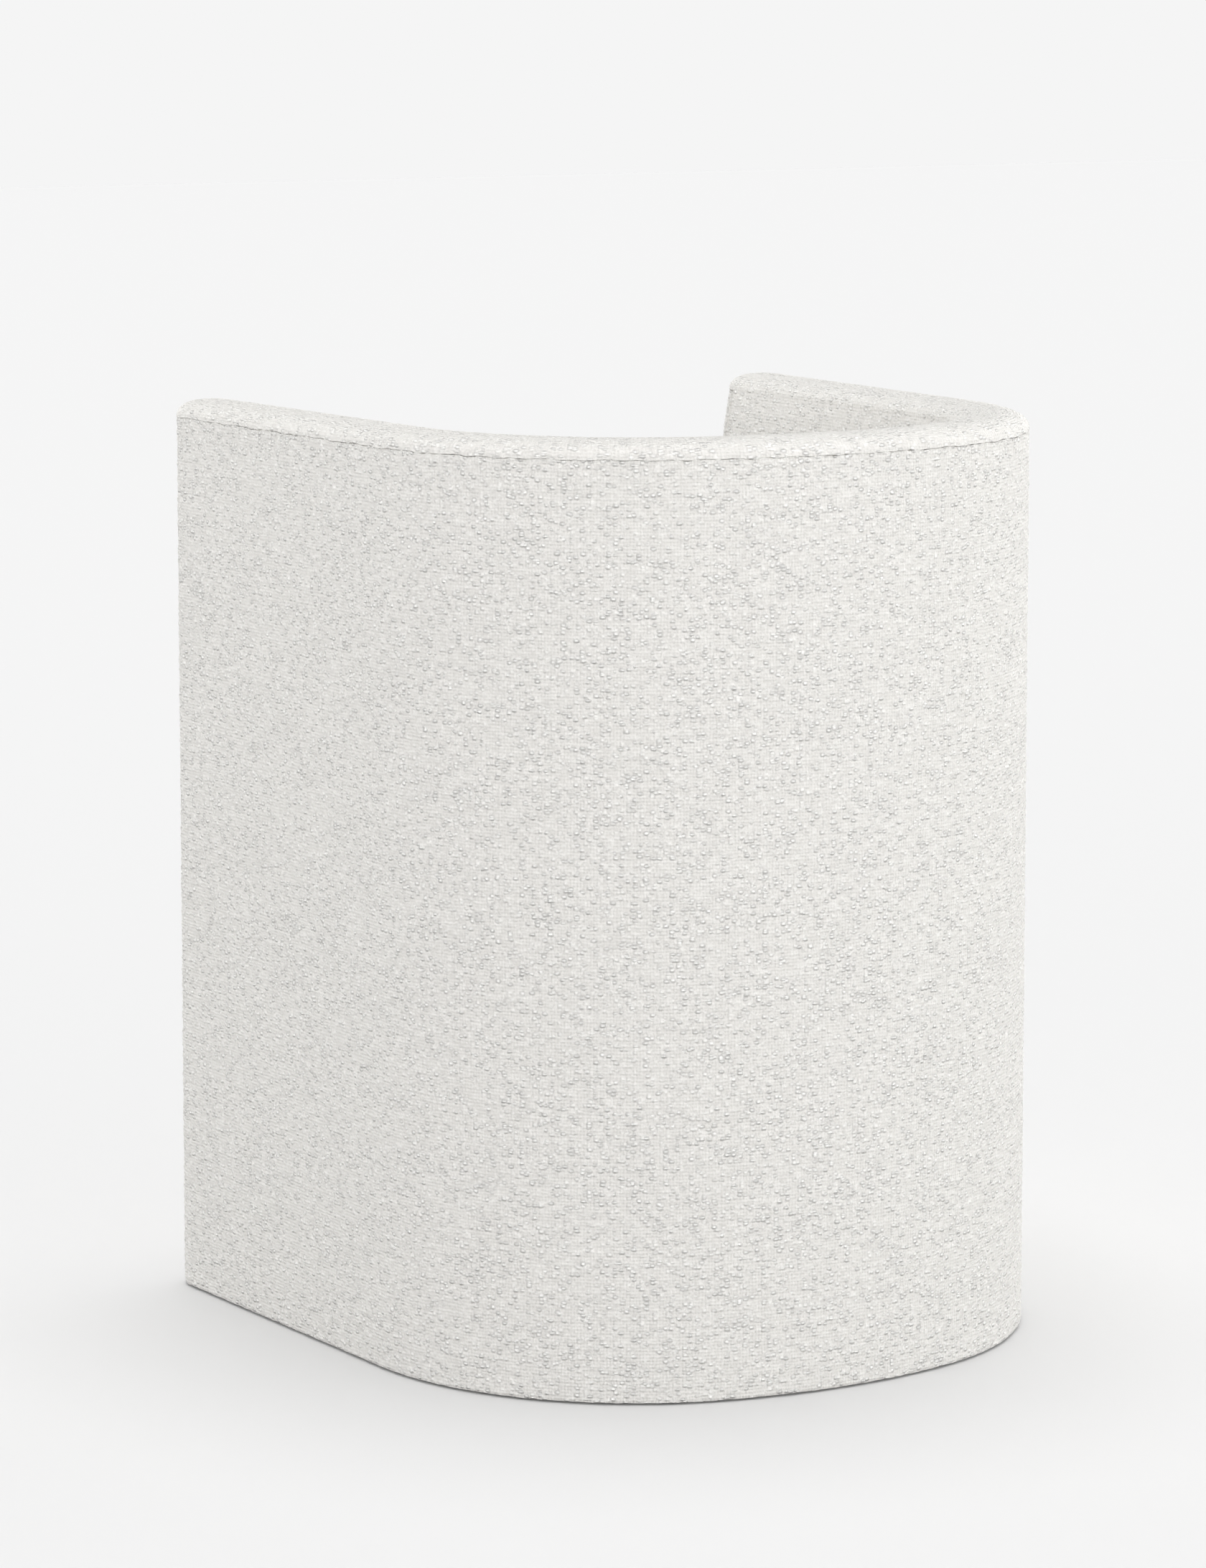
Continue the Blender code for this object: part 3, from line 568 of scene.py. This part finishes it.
def cushionLoop(depth, front):
    # plan of the cushion, once round from the middle of its back
    point, inward = outerLine(np.linspace(0.0, wallRun, seatCushion["sidePoints"]))
    side = point + inward * depth
    radius = side[-1][1] - front
    turns = np.linspace(0.0, math.pi / 2, seatCushion["cornerPoints"])[1:]
    corner = [(side[-1][0] - radius + radius * math.cos(a), side[-1][1] - radius * math.sin(a))
              for a in turns]
    edge = [(x, front) for x in np.linspace(corner[-1][0], 0.0, seatCushion["frontPoints"])[1:]]
    half = np.concatenate([side, corner, edge])
    return np.concatenate([half, (half * [-1, 1])[::-1][1:]])


def cushionLevels(low, high):
    # share of the full plan and height, from the middle of the underside round to the middle of the top
    edge, crown = seatCushion["bandEdge"], seatCushion["crown"]
    rise = high - low
    return [(0.0, low), (0.15, low), (0.40, low), (0.65, low), (0.82, low), (0.92, low + 0.001),
            (0.975, low + 0.3 * edge), (1.0, low + edge),
            (0.992, low + 0.35 * rise), (0.99, low + 0.5 * rise), (0.992, low + 0.65 * rise),
            (1.0, high - edge), (0.975, high - 0.3 * edge),
            (0.92, high + 0.15 * crown), (0.82, high + 0.40 * crown), (0.65, high + 0.66 * crown),
            (0.40, high + 0.88 * crown), (0.15, high + 0.98 * crown), (0.0, high + crown)]


def makeCushionForm():
    small = seatCushion["smaller"]
    loop = cushionLoop(seatCushion["inset"] + small, seatCushion["front"] + small)
    levels = cushionLevels(seatCushion["low"] + small / 2, seatCushion["high"] - small / 2)
    middle = np.array([0.0, (loop[:, 1].max() + loop[:, 1].min()) / 2])
    places = np.array([np.column_stack([middle + (loop - middle) * share, np.full(len(loop), z)])
                       for share, z in levels])
    rows, columns = places.shape[:2]
    u, v = np.meshgrid(np.arange(columns), np.arange(rows))
    form = clothSheet("seatCushion", places, u, v, u * 0.0)
    mergePoints(form, 0.0001)
    bpy.ops.object.mode_set(mode="EDIT")
    bpy.ops.mesh.select_all(action="SELECT")
    bpy.ops.mesh.normals_make_consistent(inside=False)
    bpy.ops.object.mode_set(mode="OBJECT")
    # the sheet's maps would not fit the meshes that are made of this form
    for layer in list(form.data.uv_layers):
        form.data.uv_layers.remove(layer)
    form.data.attributes.remove(form.data.attributes["pile"])
    return form


def remeshed(piece, voxel):
    piece.data.remesh_voxel_size = voxel
    piece.data.remesh_voxel_adaptivity = 0.0
    bpy.ops.object.voxel_remesh()


def pointsOf(mesh, what="co"):
    values = np.empty(len(mesh.vertices) * 3)
    mesh.vertices.foreach_get(what, values)
    return values.reshape(-1, 3)


def blowUp(piece):
    # cloth under pressure, held at the two seams round its edge
    start = pointsOf(piece.data)
    depth = insideWall(start[:, 0], start[:, 1])[0]
    inward, upright = seatCushion["seamReach"]
    edge = np.minimum(depth - seatCushion["inset"], start[:, 1] - seatCushion["front"]) < inward
    low = np.abs(start[:, 2] - seatCushion["low"] - seatCushion["bandEdge"]) < upright
    high = np.abs(start[:, 2] - seatCushion["high"] + seatCushion["bandEdge"]) < upright
    held = piece.vertex_groups.new(name="seams")
    held.add(np.nonzero(edge & (low | high))[0].tolist(), seatCushion["seamHold"], "REPLACE")
    cloth = piece.modifiers.new("inflate", "CLOTH")
    cloth.settings.quality = seatCushion["quality"]
    cloth.settings.use_pressure = True
    cloth.settings.uniform_pressure_force = seatCushion["pressure"]
    cloth.settings.vertex_group_mass = "seams"
    cloth.settings.effector_weights.gravity = 0.0
    cloth.point_cache.frame_end = seatCushion["frames"]
    for k in range(1, seatCushion["frames"] + 1):
        bpy.context.scene.frame_set(k)
    bpy.ops.object.modifier_apply(modifier="inflate")
    moved = pointsOf(piece.data) - start
    far = np.linalg.norm(moved, axis=1)
    print("cushion blown up by", round(far.mean() * 1000, 2), "mm, at most", round(far.max() * 1000, 2), "mm")
    moved *= np.minimum(1.0, seatCushion["cap"] / np.maximum(far, 1e-9))[:, None]
    piece.data.vertices.foreach_set("co", (start + moved).reshape(-1))
    piece.vertex_groups.clear()


def pushOffWall(spot, least, share=1.0):
    # moves points in to a least depth behind the wall's outer line, and gives their runs along it
    depth, place = insideWall(spot[:, 0], spot[:, 1])
    inward = outerLine(np.clip(place, -wallRun, wallRun))[1]
    spot[:, :2] += inward * (np.clip(least - depth, 0.0, None) * share)[:, None]
    return place


def finishCushion(piece):
    # keeps it off the wall and flat below, presses in the seams and the zip's slot, then raises the loops
    mesh = piece.data
    spot = pointsOf(mesh)
    normal = pointsOf(mesh, "normal")
    upright = np.abs(normal[:, 2])
    atFront = normal[:, 1] < seatCushion["frontTurn"]
    place = pushOffWall(spot, seatCushion["clear"])
    side = 1 - ease(upright, *seatCushion["bandTurn"])
    deep, wide, sharp = seatCushion["groove"]
    groove = np.zeros(len(spot))
    edges = (seatCushion["low"] + seatCushion["bandEdge"], seatCushion["high"] - seatCushion["bandEdge"])
    for level in edges:
        pressed = np.exp(-((spot[:, 2] - level) / wide * sharp) ** 2)
        groove += deep * pressed * ease(upright, *seatCushion["grooveTurn"])
    onZip = ease(np.abs(spot[:, 2] - zipSlot["level"]), *zipSlot["rise"])
    onZip *= ease(np.abs(spot[:, 0]), *zipSlot["half"])
    onZip *= (normal[:, 1] > zipSlot["turn"]) * side
    flatPile = readRelief(spot[:, 0] + seatCushion["flatSlip"], spot[:, 1])
    bandPile = readRelief(place + seatCushion["bandSlip"], spot[:, 2])
    bandPile = np.where(atFront, readRelief(spot[:, 0], spot[:, 2]), bandPile)
    pile = flatPile * (1 - side) + bandPile * side
    start, full = seatCushion["underRise"]
    free = ease(spot[:, 2], seatCushion["low"] + start, seatCushion["low"] + full)
    free = seatCushion["underPile"] + (1 - seatCushion["underPile"]) * free
    lift = (pile - loopCloth["sink"]) * free * (1 - onZip)
    spot += normal * (lift - groove)[:, None]
    place = pushOffWall(spot, zipSlot["floor"], onZip)
    spot[:, 2] = np.maximum(spot[:, 2], seatCushion["low"] + seatCushion["underSlack"])
    mesh.vertices.foreach_set("co", spot.reshape(-1))
    keepPile(mesh, pile)
    along = np.where(atFront, spot[:, 0], place)
    isFlat = (upright > seatCushion["flatTurn"])[:, None]
    flat = np.where(isFlat, spot[:, :2], np.stack([along, spot[:, 2]], -1))
    layMap(mesh, mesh.uv_layers.new(name="cloth"), flat)
    mesh.shade_smooth()
    mesh.update()


def smoothed(piece, times):
    smooth = piece.modifiers.new("ease", "SMOOTH")
    smooth.factor = 0.5
    smooth.iterations = times
    bpy.ops.object.modifier_apply(modifier="ease")


def makeCushion():
    cushion = makeCushionForm()
    remeshed(cushion, seatCushion["voxel"])
    blowUp(cushion)
    smoothed(cushion, seatCushion["easeTimes"][0])
    over = cushion.modifiers.new("overFill", "SHRINKWRAP")
    over.target = bpy.data.objects["cushion_core"]
    over.wrap_method = "NEAREST_SURFACEPOINT"
    over.wrap_mode = "OUTSIDE"
    over.offset = seatCushion["cover"]
    bpy.ops.object.modifier_apply(modifier="overFill")
    remeshed(cushion, seatCushion["fineVoxel"])
    smoothed(cushion, seatCushion["easeTimes"][1])
    finishCushion(cushion)
    return cushion


# Deck cloth under the cushion and dust sheet under the base: flat D-shaped sheets, tacked all round
deckCloth = {"front": -0.2112, "inset": 0.0832, "level": 0.3931, "ripple": 0.0006}
dustSheet = {"front": -0.2572, "inset": 0.0540, "level": 0.0034, "ripple": -0.0005}
tackedSheet = {
    "rows": 120,
    "columns": 110,
    "waves": (0.11, 0.13),   # lengths of the ripples across and along
    "seeds": (5, 6),
    "edge": 0.125,           # share of the sheet, in from its tacks, over which the ripples rise
}


def makeFlatSheet(name, cut):
    back = backY + wall["backRadius"] - cut["inset"]
    share, across = np.meshgrid(np.sin(np.linspace(0, math.pi / 2, tackedSheet["rows"])),
                                np.linspace(-1, 1, tackedSheet["columns"]), indexing="ij")
    y = cut["front"] + (back - cut["front"]) * share
    x = across * halfWidth(y, cut["inset"])
    waves, seeds = tackedSheet["waves"], tackedSheet["seeds"]
    pull = wander(x, waves[0], seeds[0]) * wander(y, waves[1], seeds[1])
    edge = np.minimum(1 - np.abs(across), 1 - share) / tackedSheet["edge"]
    z = cut["level"] + cut["ripple"] * pull * np.clip(edge, 0, 1)
    sheet = clothSheet(name, np.stack([x, y, z], -1), x, y, x * 0)
    mergePoints(sheet, 0.00002)
    return sheet


# Zip coil: nylon turns along the middle of the tape
zipCoil = {
    "pitch": 0.0015,
    "length": 0.160,
    "radius": 0.337,         # of the cushion's back edge
    "inset": 0.0024,         # the coil's middle inside that edge
    "level": 0.435,
    "size": (0.00055, 0.0011, 0.0020),
}


def makeZipCoil():
    count = int(zipCoil["length"] / zipCoil["pitch"])
    step = zipCoil["pitch"] / zipCoil["radius"]
    start = math.pi / 2 + step * (count - 1) / 2
    reach = zipCoil["radius"] - zipCoil["inset"]
    bpy.ops.object.select_all(action="DESELECT")
    bpy.ops.mesh.primitive_uv_sphere_add(segments=8, ring_count=6, radius=1.0)
    coil = bpy.context.object
    coil.name = "zipCoil"
    bpy.ops.transform.resize(value=zipCoil["size"], orient_type="GLOBAL", center_override=(0, 0, 0))
    bpy.ops.transform.rotate(value=-(start - math.pi / 2), orient_axis="Z", center_override=(0, 0, 0))
    first = (reach * math.cos(start), backY + reach * math.sin(start), zipCoil["level"])
    bpy.ops.transform.translate(value=first)
    bpy.ops.object.transform_apply(location=True, rotation=True, scale=True)
    bpy.ops.object.empty_add(location=(0, 0, 0))
    turn = bpy.context.object
    turn.name = "coilStep"
    bpy.ops.object.select_all(action="DESELECT")
    coil.select_set(True)
    bpy.context.view_layer.objects.active = coil
    bpy.ops.transform.translate(value=(0, -backY, 0))
    bpy.ops.object.transform_apply(location=True, rotation=True, scale=True)
    turn.rotation_euler = (0, 0, -step)
    bpy.context.view_layer.update()
    row = coil.modifiers.new("row", "ARRAY")
    row.count = count
    row.use_relative_offset = False
    row.use_object_offset = True
    row.offset_object = turn
    bpy.ops.object.modifier_apply(modifier="row")
    bpy.data.objects.remove(turn)
    bpy.ops.transform.translate(value=(0, backY, 0))
    bpy.ops.object.transform_apply(location=True, rotation=True, scale=True)
    bpy.ops.object.shade_smooth()
    return coil


# Materials. Colours are sRGB hex, turned to linear here.
def linear(hexColour):
    parts = [int(hexColour[k:k + 2], 16) / 255 for k in (1, 3, 5)]
    return [c / 12.92 if c <= 0.04045 else ((c + 0.055) / 1.055) ** 2.4 for c in parts] + [1.0]


def addNode(tree, kind, settings=None, values=None, links=None):
    node = tree.nodes.new(kind)
    for key, value in (settings or {}).items():
        setattr(node, key, value)
    for key, value in (values or {}).items():
        node.inputs[key].default_value = value
    for key, socket in (links or {}).items():
        tree.links.new(socket, node.inputs[key])
    return node


def newMaterial(name, roughness, metallic=0.0):
    surface = bpy.data.materials.new(name)
    surface.use_nodes = True
    shader = surface.node_tree.nodes["Principled BSDF"]
    shader.inputs["Roughness"].default_value = roughness
    shader.inputs["Metallic"].default_value = metallic
    return surface, surface.node_tree, shader


def bands(tree, where, axis, period, wobble):
    # threads side by side, one every period metres
    return addNode(tree, "ShaderNodeTexWave", {"bands_direction": axis},
                   {"Scale": math.pi / 10 / period, "Distortion": wobble, "Detail": 2.0, "Detail Scale": 1.5},
                   {"Vector": where}).outputs["Fac"]


def mixOf(tree, share, low, high):
    return addNode(tree, "ShaderNodeMix", {"data_type": "RGBA"}, {"A": linear(low), "B": linear(high)},
                   {"Factor": share}).outputs["Result"]


def crumbs(tree, where, size, chance, dome):
    # knots of yarn scattered at one size: chance is the range over which they come up, dome their roundness
    cells = addNode(tree, "ShaderNodeMapping", None, {"Scale": (1 / size[0], 1 / size[1], 1.0)},
                    {"Vector": where})
    cells = addNode(tree, "ShaderNodeTexVoronoi", {"feature": "F1"}, {"Scale": 1.0, "Randomness": 1.0},
                    {"Vector": cells.outputs["Vector"]}).outputs
    lot = addNode(tree, "ShaderNodeSeparateColor", None, None, {0: cells["Color"]}).outputs[0]
    lot = addNode(tree, "ShaderNodeMapRange", None, {"From Min": chance[0], "From Max": chance[1]},
                  {"Value": lot})
    shape = addNode(tree, "ShaderNodeMapRange", {"interpolation_type": "SMOOTHSTEP"},
                    {"From Min": dome[0], "From Max": dome[1], "To Min": 1.0, "To Max": 0.0},
                    {"Value": cells["Distance"]})
    return addNode(tree, "ShaderNodeMath", {"operation": "MULTIPLY"}, None,
                   {0: lot.outputs["Result"], 1: shape.outputs["Result"]}).outputs[0]


# Ivory wool boucle: matt and pale, threads between the knots. Painted light and shade in its colour: knots
# lighter, partly their own tone and partly a painted highlight; low ground darker as painted shade.
# Real threads are nearer 1 mm; they are drawn as coarse as they need to be to show.
boucleYarn = {
    # ground: ivory darkened by painted shade in the hollows; knot: ivory lightened in part by a painted
    # highlight
    "ground": "#e0deda",
    "knot": "#fefdfa",
    "knotSize": (0.0050, 0.0034),
    "knotChance": (0.05, 0.60),
    "knotDome": (0.10, 0.62),
    "warp": 0.0026,
    "weft": 0.0027,
    "wobble": 1.5,
    "threadShare": 0.16,     # height of the threads over that of the knots
    "relief": 0.0021,
    # painted shade: the lower the pile, the darker the colour
    "pileShadeRate": 300.0,       # lighter tone for each metre of pile
}


def woolBoucle():
    surface, tree, shader = newMaterial("ivoryWoolBoucle", 0.95)
    where = addNode(tree, "ShaderNodeUVMap", {"uv_map": "cloth"}).outputs["UV"]
    pile = addNode(tree, "ShaderNodeAttribute", {"attribute_name": "pile"}).outputs["Fac"]
    lumps = crumbs(tree, where, boucleYarn["knotSize"], boucleYarn["knotChance"], boucleYarn["knotDome"])
    warp = bands(tree, where, "X", boucleYarn["warp"], boucleYarn["wobble"])
    weft = bands(tree, where, "Y", boucleYarn["weft"], boucleYarn["wobble"])
    weave = addNode(tree, "ShaderNodeMath", {"operation": "ADD"}, None, {0: warp, 1: weft}).outputs[0]
    height = addNode(tree, "ShaderNodeMath", {"operation": "MULTIPLY_ADD"}, {1: boucleYarn["threadShare"]},
                     {0: weave, 2: lumps}).outputs[0]
    bump = addNode(tree, "ShaderNodeBump", None, {"Strength": 1.0, "Distance": boucleYarn["relief"]},
                   {"Height": height})
    # painted light and shade: knots and high pile take the lighter colour, the low ground between them the
    # darker one
    tone = addNode(tree, "ShaderNodeMath", {"operation": "MULTIPLY_ADD", "use_clamp": True},
                   {1: boucleYarn["pileShadeRate"]}, {0: pile, 2: lumps}).outputs[0]
    shade = mixOf(tree, tone, boucleYarn["ground"], boucleYarn["knot"])
    tree.links.new(shade, shader.inputs["Base Color"])
    tree.links.new(bump.outputs["Normal"], shader.inputs["Normal"])
    shader.inputs["Specular IOR Level"].default_value = 0.2
    shader.inputs["Sheen Weight"].default_value = 0.08
    return surface


# Other stuffs: two tones mixed by a grain of real size, with its own relief
def grained(name, tones, grain, roughness, depth, metallic=0.0):
    surface, tree, shader = newMaterial(name, roughness, metallic)
    where = addNode(tree, "ShaderNodeTexCoord").outputs["Object"]
    where = addNode(tree, "ShaderNodeMapping", None, {"Scale": [1 / size for size in grain]},
                    {"Vector": where}).outputs["Vector"]
    noise = addNode(tree, "ShaderNodeTexNoise", None, {"Scale": 1.0, "Detail": 4.0, "Roughness": 0.6},
                    {"Vector": where}).outputs["Fac"]
    share = addNode(tree, "ShaderNodeMapRange", None, {"From Min": 0.3, "From Max": 0.7}, {"Value": noise})
    tree.links.new(mixOf(tree, share.outputs["Result"], *tones), shader.inputs["Base Color"])
    bump = addNode(tree, "ShaderNodeBump", None, {"Strength": 0.6, "Distance": depth}, {"Height": noise})
    tree.links.new(bump.outputs["Normal"], shader.inputs["Normal"])
    return surface


# Plain weave: two sets of threads at right angles, in the cloth's own plane
def woven(name, tones, thread, roughness, axes="XY"):
    surface, tree, shader = newMaterial(name, roughness)
    where = addNode(tree, "ShaderNodeTexCoord").outputs["Object"]
    across = bands(tree, where, axes[0], thread, 0.6)
    along = bands(tree, where, axes[1], thread, 0.6)
    height = addNode(tree, "ShaderNodeMath", {"operation": "MAXIMUM"}, None,
                     {0: across, 1: along}).outputs[0]
    tree.links.new(mixOf(tree, height, *tones), shader.inputs["Base Color"])
    bump = addNode(tree, "ShaderNodeBump", None, {"Strength": 0.6, "Distance": thread * 0.3},
                   {"Height": height})
    tree.links.new(bump.outputs["Normal"], shader.inputs["Normal"])
    shader.inputs["Specular IOR Level"].default_value = 0.25
    return surface


boucle = woolBoucle()
# cotton twill: cream, dull, with a close weave
cottonDeck = woven("creamCottonTwill", ("#c9c4b8", "#dedacf"), 0.0007, 0.9)
# stiffened black cloth: almost no light comes back from it
dustCambric = grained("blackDustCambric", ("#121212", "#232323"), (0.0012, 0.0012, 0.0012), 0.95, 0.0002)
# drawn nylon: ivory, with a soft shine
coilNylon = grained("ivoryZipNylon", ("#d8d4ca", "#e4e1d9"), (0.0008, 0.0008, 0.0008), 0.5, 0.00005)

# CAD pieces that keep their shape, by the start of their names
cadStuffs = [
    # sanded plywood: pale, with fine level veneers
    (grained("birchPlywood", ("#b5905f", "#d6b98c"), (0.006, 0.006, 0.0016), 0.7, 0.0002),
     ("base_ring", "top_rail", "seat_hoop", "front_board")),
    # pressed board: brown and even
    (grained("bentHardboard", ("#7b5c3c", "#9a7850"), (0.003, 0.003, 0.003), 0.75, 0.0002), ("back_board",)),
    # planed beech: warm, with long upright grain
    (grained("beechTimber", ("#b28457", "#cfa878"), (0.004, 0.004, 0.09), 0.65, 0.0002),
     ("front_post", "arm_stud", "corner_stud", "back_stud", "corner_block", "front_seat_rail")),
    # elastic webbing: near black, with a coarse rib
    (woven("blackElasticWebbing", ("#1b1b1d", "#35353a"), 0.0022, 0.85, "XZ"), ("back_web",)),
    # needled felt: grey and hairy
    (grained("greyJuteFelt", ("#8a877f", "#b0aca2"), (0.0015, 0.0015, 0.0015), 0.95, 0.0005), ("deck_felt",)),
    # cut foam: cream, with small pores
    (grained("creamUpholsteryFoam", ("#d9cfa4", "#ebe4c3"), (0.0012, 0.0012, 0.0012), 0.95, 0.0004),
     ("inside_foam", "arm_front_pad", "deck_pad", "cushion_core")),
    # fibre wadding: white and cloudy
    (grained("whitePolyesterWadding", ("#dcdcda", "#f2f2f0"), (0.005, 0.005, 0.005), 0.95, 0.0010),
     ("outer_wadding", "front_wadding")),
    # oiled wire: dark, with a soft shine
    (grained("oiledSpringSteel", ("#4a4b4d", "#66686b"), (0.0008, 0.0008, 0.0008), 0.38, 0.00003, 1.0),
     ("spring_",)),
    # plated steel: pale grey, with a brighter shine
    (grained("zincPlatedSteel", ("#a3a6a8", "#bcbfc1"), (0.0015, 0.0015, 0.0015), 0.35, 0.00003, 1.0),
     ("front_clip", "rear_clip", "seam_grip_strip", "zip_slider")),
    # zip tape: ivory, with a close weave
    (woven("ivoryZipTape", ("#cfcbc0", "#e2dfd6"), 0.0006, 0.85, "XZ"), ("zip_tape",)),
    # moulded nylon: black, with a dull shine
    (grained("blackGlideNylon", ("#161616", "#242424"), (0.0020, 0.0020, 0.0020), 0.45, 0.00005),
     ("glide_",)),
]
for surface, starts in cadStuffs:
    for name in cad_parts:
        if name.startswith(starts):
            bpy.data.objects[name].data.materials.clear()
            bpy.data.objects[name].data.materials.append(surface)
print("materials on the frame's own pieces")


def dress(piece, surface, body, slotName, *nodes):
    piece.data.materials.clear()
    piece.data.materials.append(surface)
    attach(piece, body)
    if nodes:
        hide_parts(*nodes)
    print(piece.name + ":", len(piece.data.polygons), "faces")


outside = makeOutsideCover()
dress(outside, boucle, "chair", "boucle", "outside_cover")
inside = makeInsideCover()
dress(inside, boucle, "chair", "boucle", "inside_cover")
front = makeFrontCover()
dress(front, boucle, "chair", "boucle", "front_cover")
cushion = makeCushion()
dress(cushion, boucle, "cushion", "boucle", "cushion_cover")
deck = makeFlatSheet("deckCloth", deckCloth)
faceOut(deck, (0, 0, deckCloth["level"]), (0, 0, 1))
dress(deck, cottonDeck, "chair", "deck_cloth", "deck_cloth")
dust = makeFlatSheet("dustSheet", dustSheet)
faceOut(dust, (0, 0, dustSheet["level"]), (0, 0, -1))
dress(dust, dustCambric, "chair", "dust_cloth", "dust_cover")
coil = makeZipCoil()
dress(coil, coilNylon, "cushion", "zip_nylon")

# Studio: pale floor, even light, a bright band low all round and one soft panel overhead
studio = {
    "floorSize": 40.0,
    "floorColour": "#eaeaea",    # as the eye sees it
    "floorBounce": "#b4b4b4",    # as it throws light up at the chair
    "backColour": "#f5f5f5",
    "sky": 0.50,
    "band": 3.50,                # brightness of the low band, over the sky's
    "bandFoot": 0.05,            # sines of the heights between which it fades out
    "bandTop": 0.45,
    "bandLean": 0.22,            # share by which it is brighter towards its bright side
    "brightSide": 150.0,         # bearings in degrees, from +X towards +Y
    "panelBearing": 240.0,
    "panelRise": 85.0,
    "panelAngle": 40.0,          # how wide the panel looks from the chair
    "panel": 1.16,
}


def seenDirectly(tree):
    # 1 for what the eye sees, also in metal or through glass, and 0 for light on its way to the chair
    path = addNode(tree, "ShaderNodeLightPath").outputs
    seen = path["Is Camera Ray"]
    for ray in ("Is Glossy Ray", "Is Transmission Ray"):
        seen = addNode(tree, "ShaderNodeMath", {"operation": "ADD", "use_clamp": True}, None,
                       {0: seen, 1: path[ray]}).outputs[0]
    return seen


def makeStudio():
    bpy.ops.object.select_all(action="DESELECT")
    bpy.ops.mesh.primitive_plane_add(size=studio["floorSize"])
    floor = bpy.context.object
    floor.name = "studioFloor"
    # matt paint: takes a soft shadow and gives no shine
    surface, tree, shader = newMaterial("paleFloorPaint", 1.0)
    tree.links.new(mixOf(tree, seenDirectly(tree), studio["floorBounce"], studio["floorColour"]),
                   shader.inputs["Base Color"])
    shader.inputs["Specular IOR Level"].default_value = 0.0
    floor.data.materials.append(surface)
    bpy.ops.object.light_add(type="SUN")
    panel = bpy.context.object
    panel.name = "topPanel"
    panel.data.energy = studio["panel"]
    panel.data.angle = math.radians(studio["panelAngle"])
    panel.rotation_euler = (math.radians(90 - studio["panelRise"]), 0.0,
                            math.radians(90 + studio["panelBearing"]))
    world = bpy.data.worlds.new("studioLight")
    bpy.context.scene.world = world
    world.use_nodes = True
    tree = world.node_tree
    tree.nodes.clear()
    seen = seenDirectly(tree)
    where = addNode(tree, "ShaderNodeTexCoord").outputs["Generated"]
    rise = addNode(tree, "ShaderNodeSeparateXYZ", None, None, {0: where}).outputs["Z"]
    band = addNode(tree, "ShaderNodeMapRange", {"interpolation_type": "SMOOTHSTEP"},
                   {"From Min": studio["bandFoot"], "From Max": studio["bandTop"],
                    "To Min": studio["band"], "To Max": 0.0}, {"Value": rise}).outputs["Result"]
    side = math.radians(studio["brightSide"])
    lean = (studio["bandLean"] * math.cos(side), studio["bandLean"] * math.sin(side), 0.0)
    lean = addNode(tree, "ShaderNodeVectorMath", {"operation": "DOT_PRODUCT"}, {1: lean},
                   {0: where}).outputs["Value"]
    lean = addNode(tree, "ShaderNodeMath", {"operation": "ADD"}, {1: 1.0}, {0: lean}).outputs[0]
    level = addNode(tree, "ShaderNodeMath", {"operation": "MULTIPLY_ADD"}, {2: studio["sky"]},
                    {0: band, 1: lean}).outputs[0]
    sky = addNode(tree, "ShaderNodeBackground", None, {"Color": (1, 1, 1, 1)}, {"Strength": level})
    back = addNode(tree, "ShaderNodeBackground", None,
                   {"Color": linear(studio["backColour"]), "Strength": 1.0})
    mix = addNode(tree, "ShaderNodeMixShader", None, None,
                  {0: seen, 1: sky.outputs[0], 2: back.outputs[0]})
    addNode(tree, "ShaderNodeOutputWorld", None, None, {"Surface": mix.outputs[0]})


# Camera at the photograph's viewing angle, looking at the chair's back from its left
camera = {
    "place": (2.3057, 3.8368, 1.1402),
    "turn": 149.537,
    "tilt": 6.974,           # degrees below level
    "lens": 124.67,
    "shift": -0.11,
}


def makeCamera():
    bpy.ops.object.camera_add(location=camera["place"])
    eye = bpy.context.object
    eye.name = "photoCamera"
    eye.rotation_euler = (math.radians(90 - camera["tilt"]), 0.0, math.radians(camera["turn"]))
    eye.data.lens = camera["lens"]
    eye.data.shift_y = camera["shift"]
    bpy.context.scene.camera = eye


makeStudio()
makeCamera()
print("studio and camera set")
bpy.context.scene.view_settings.view_transform = "Standard"
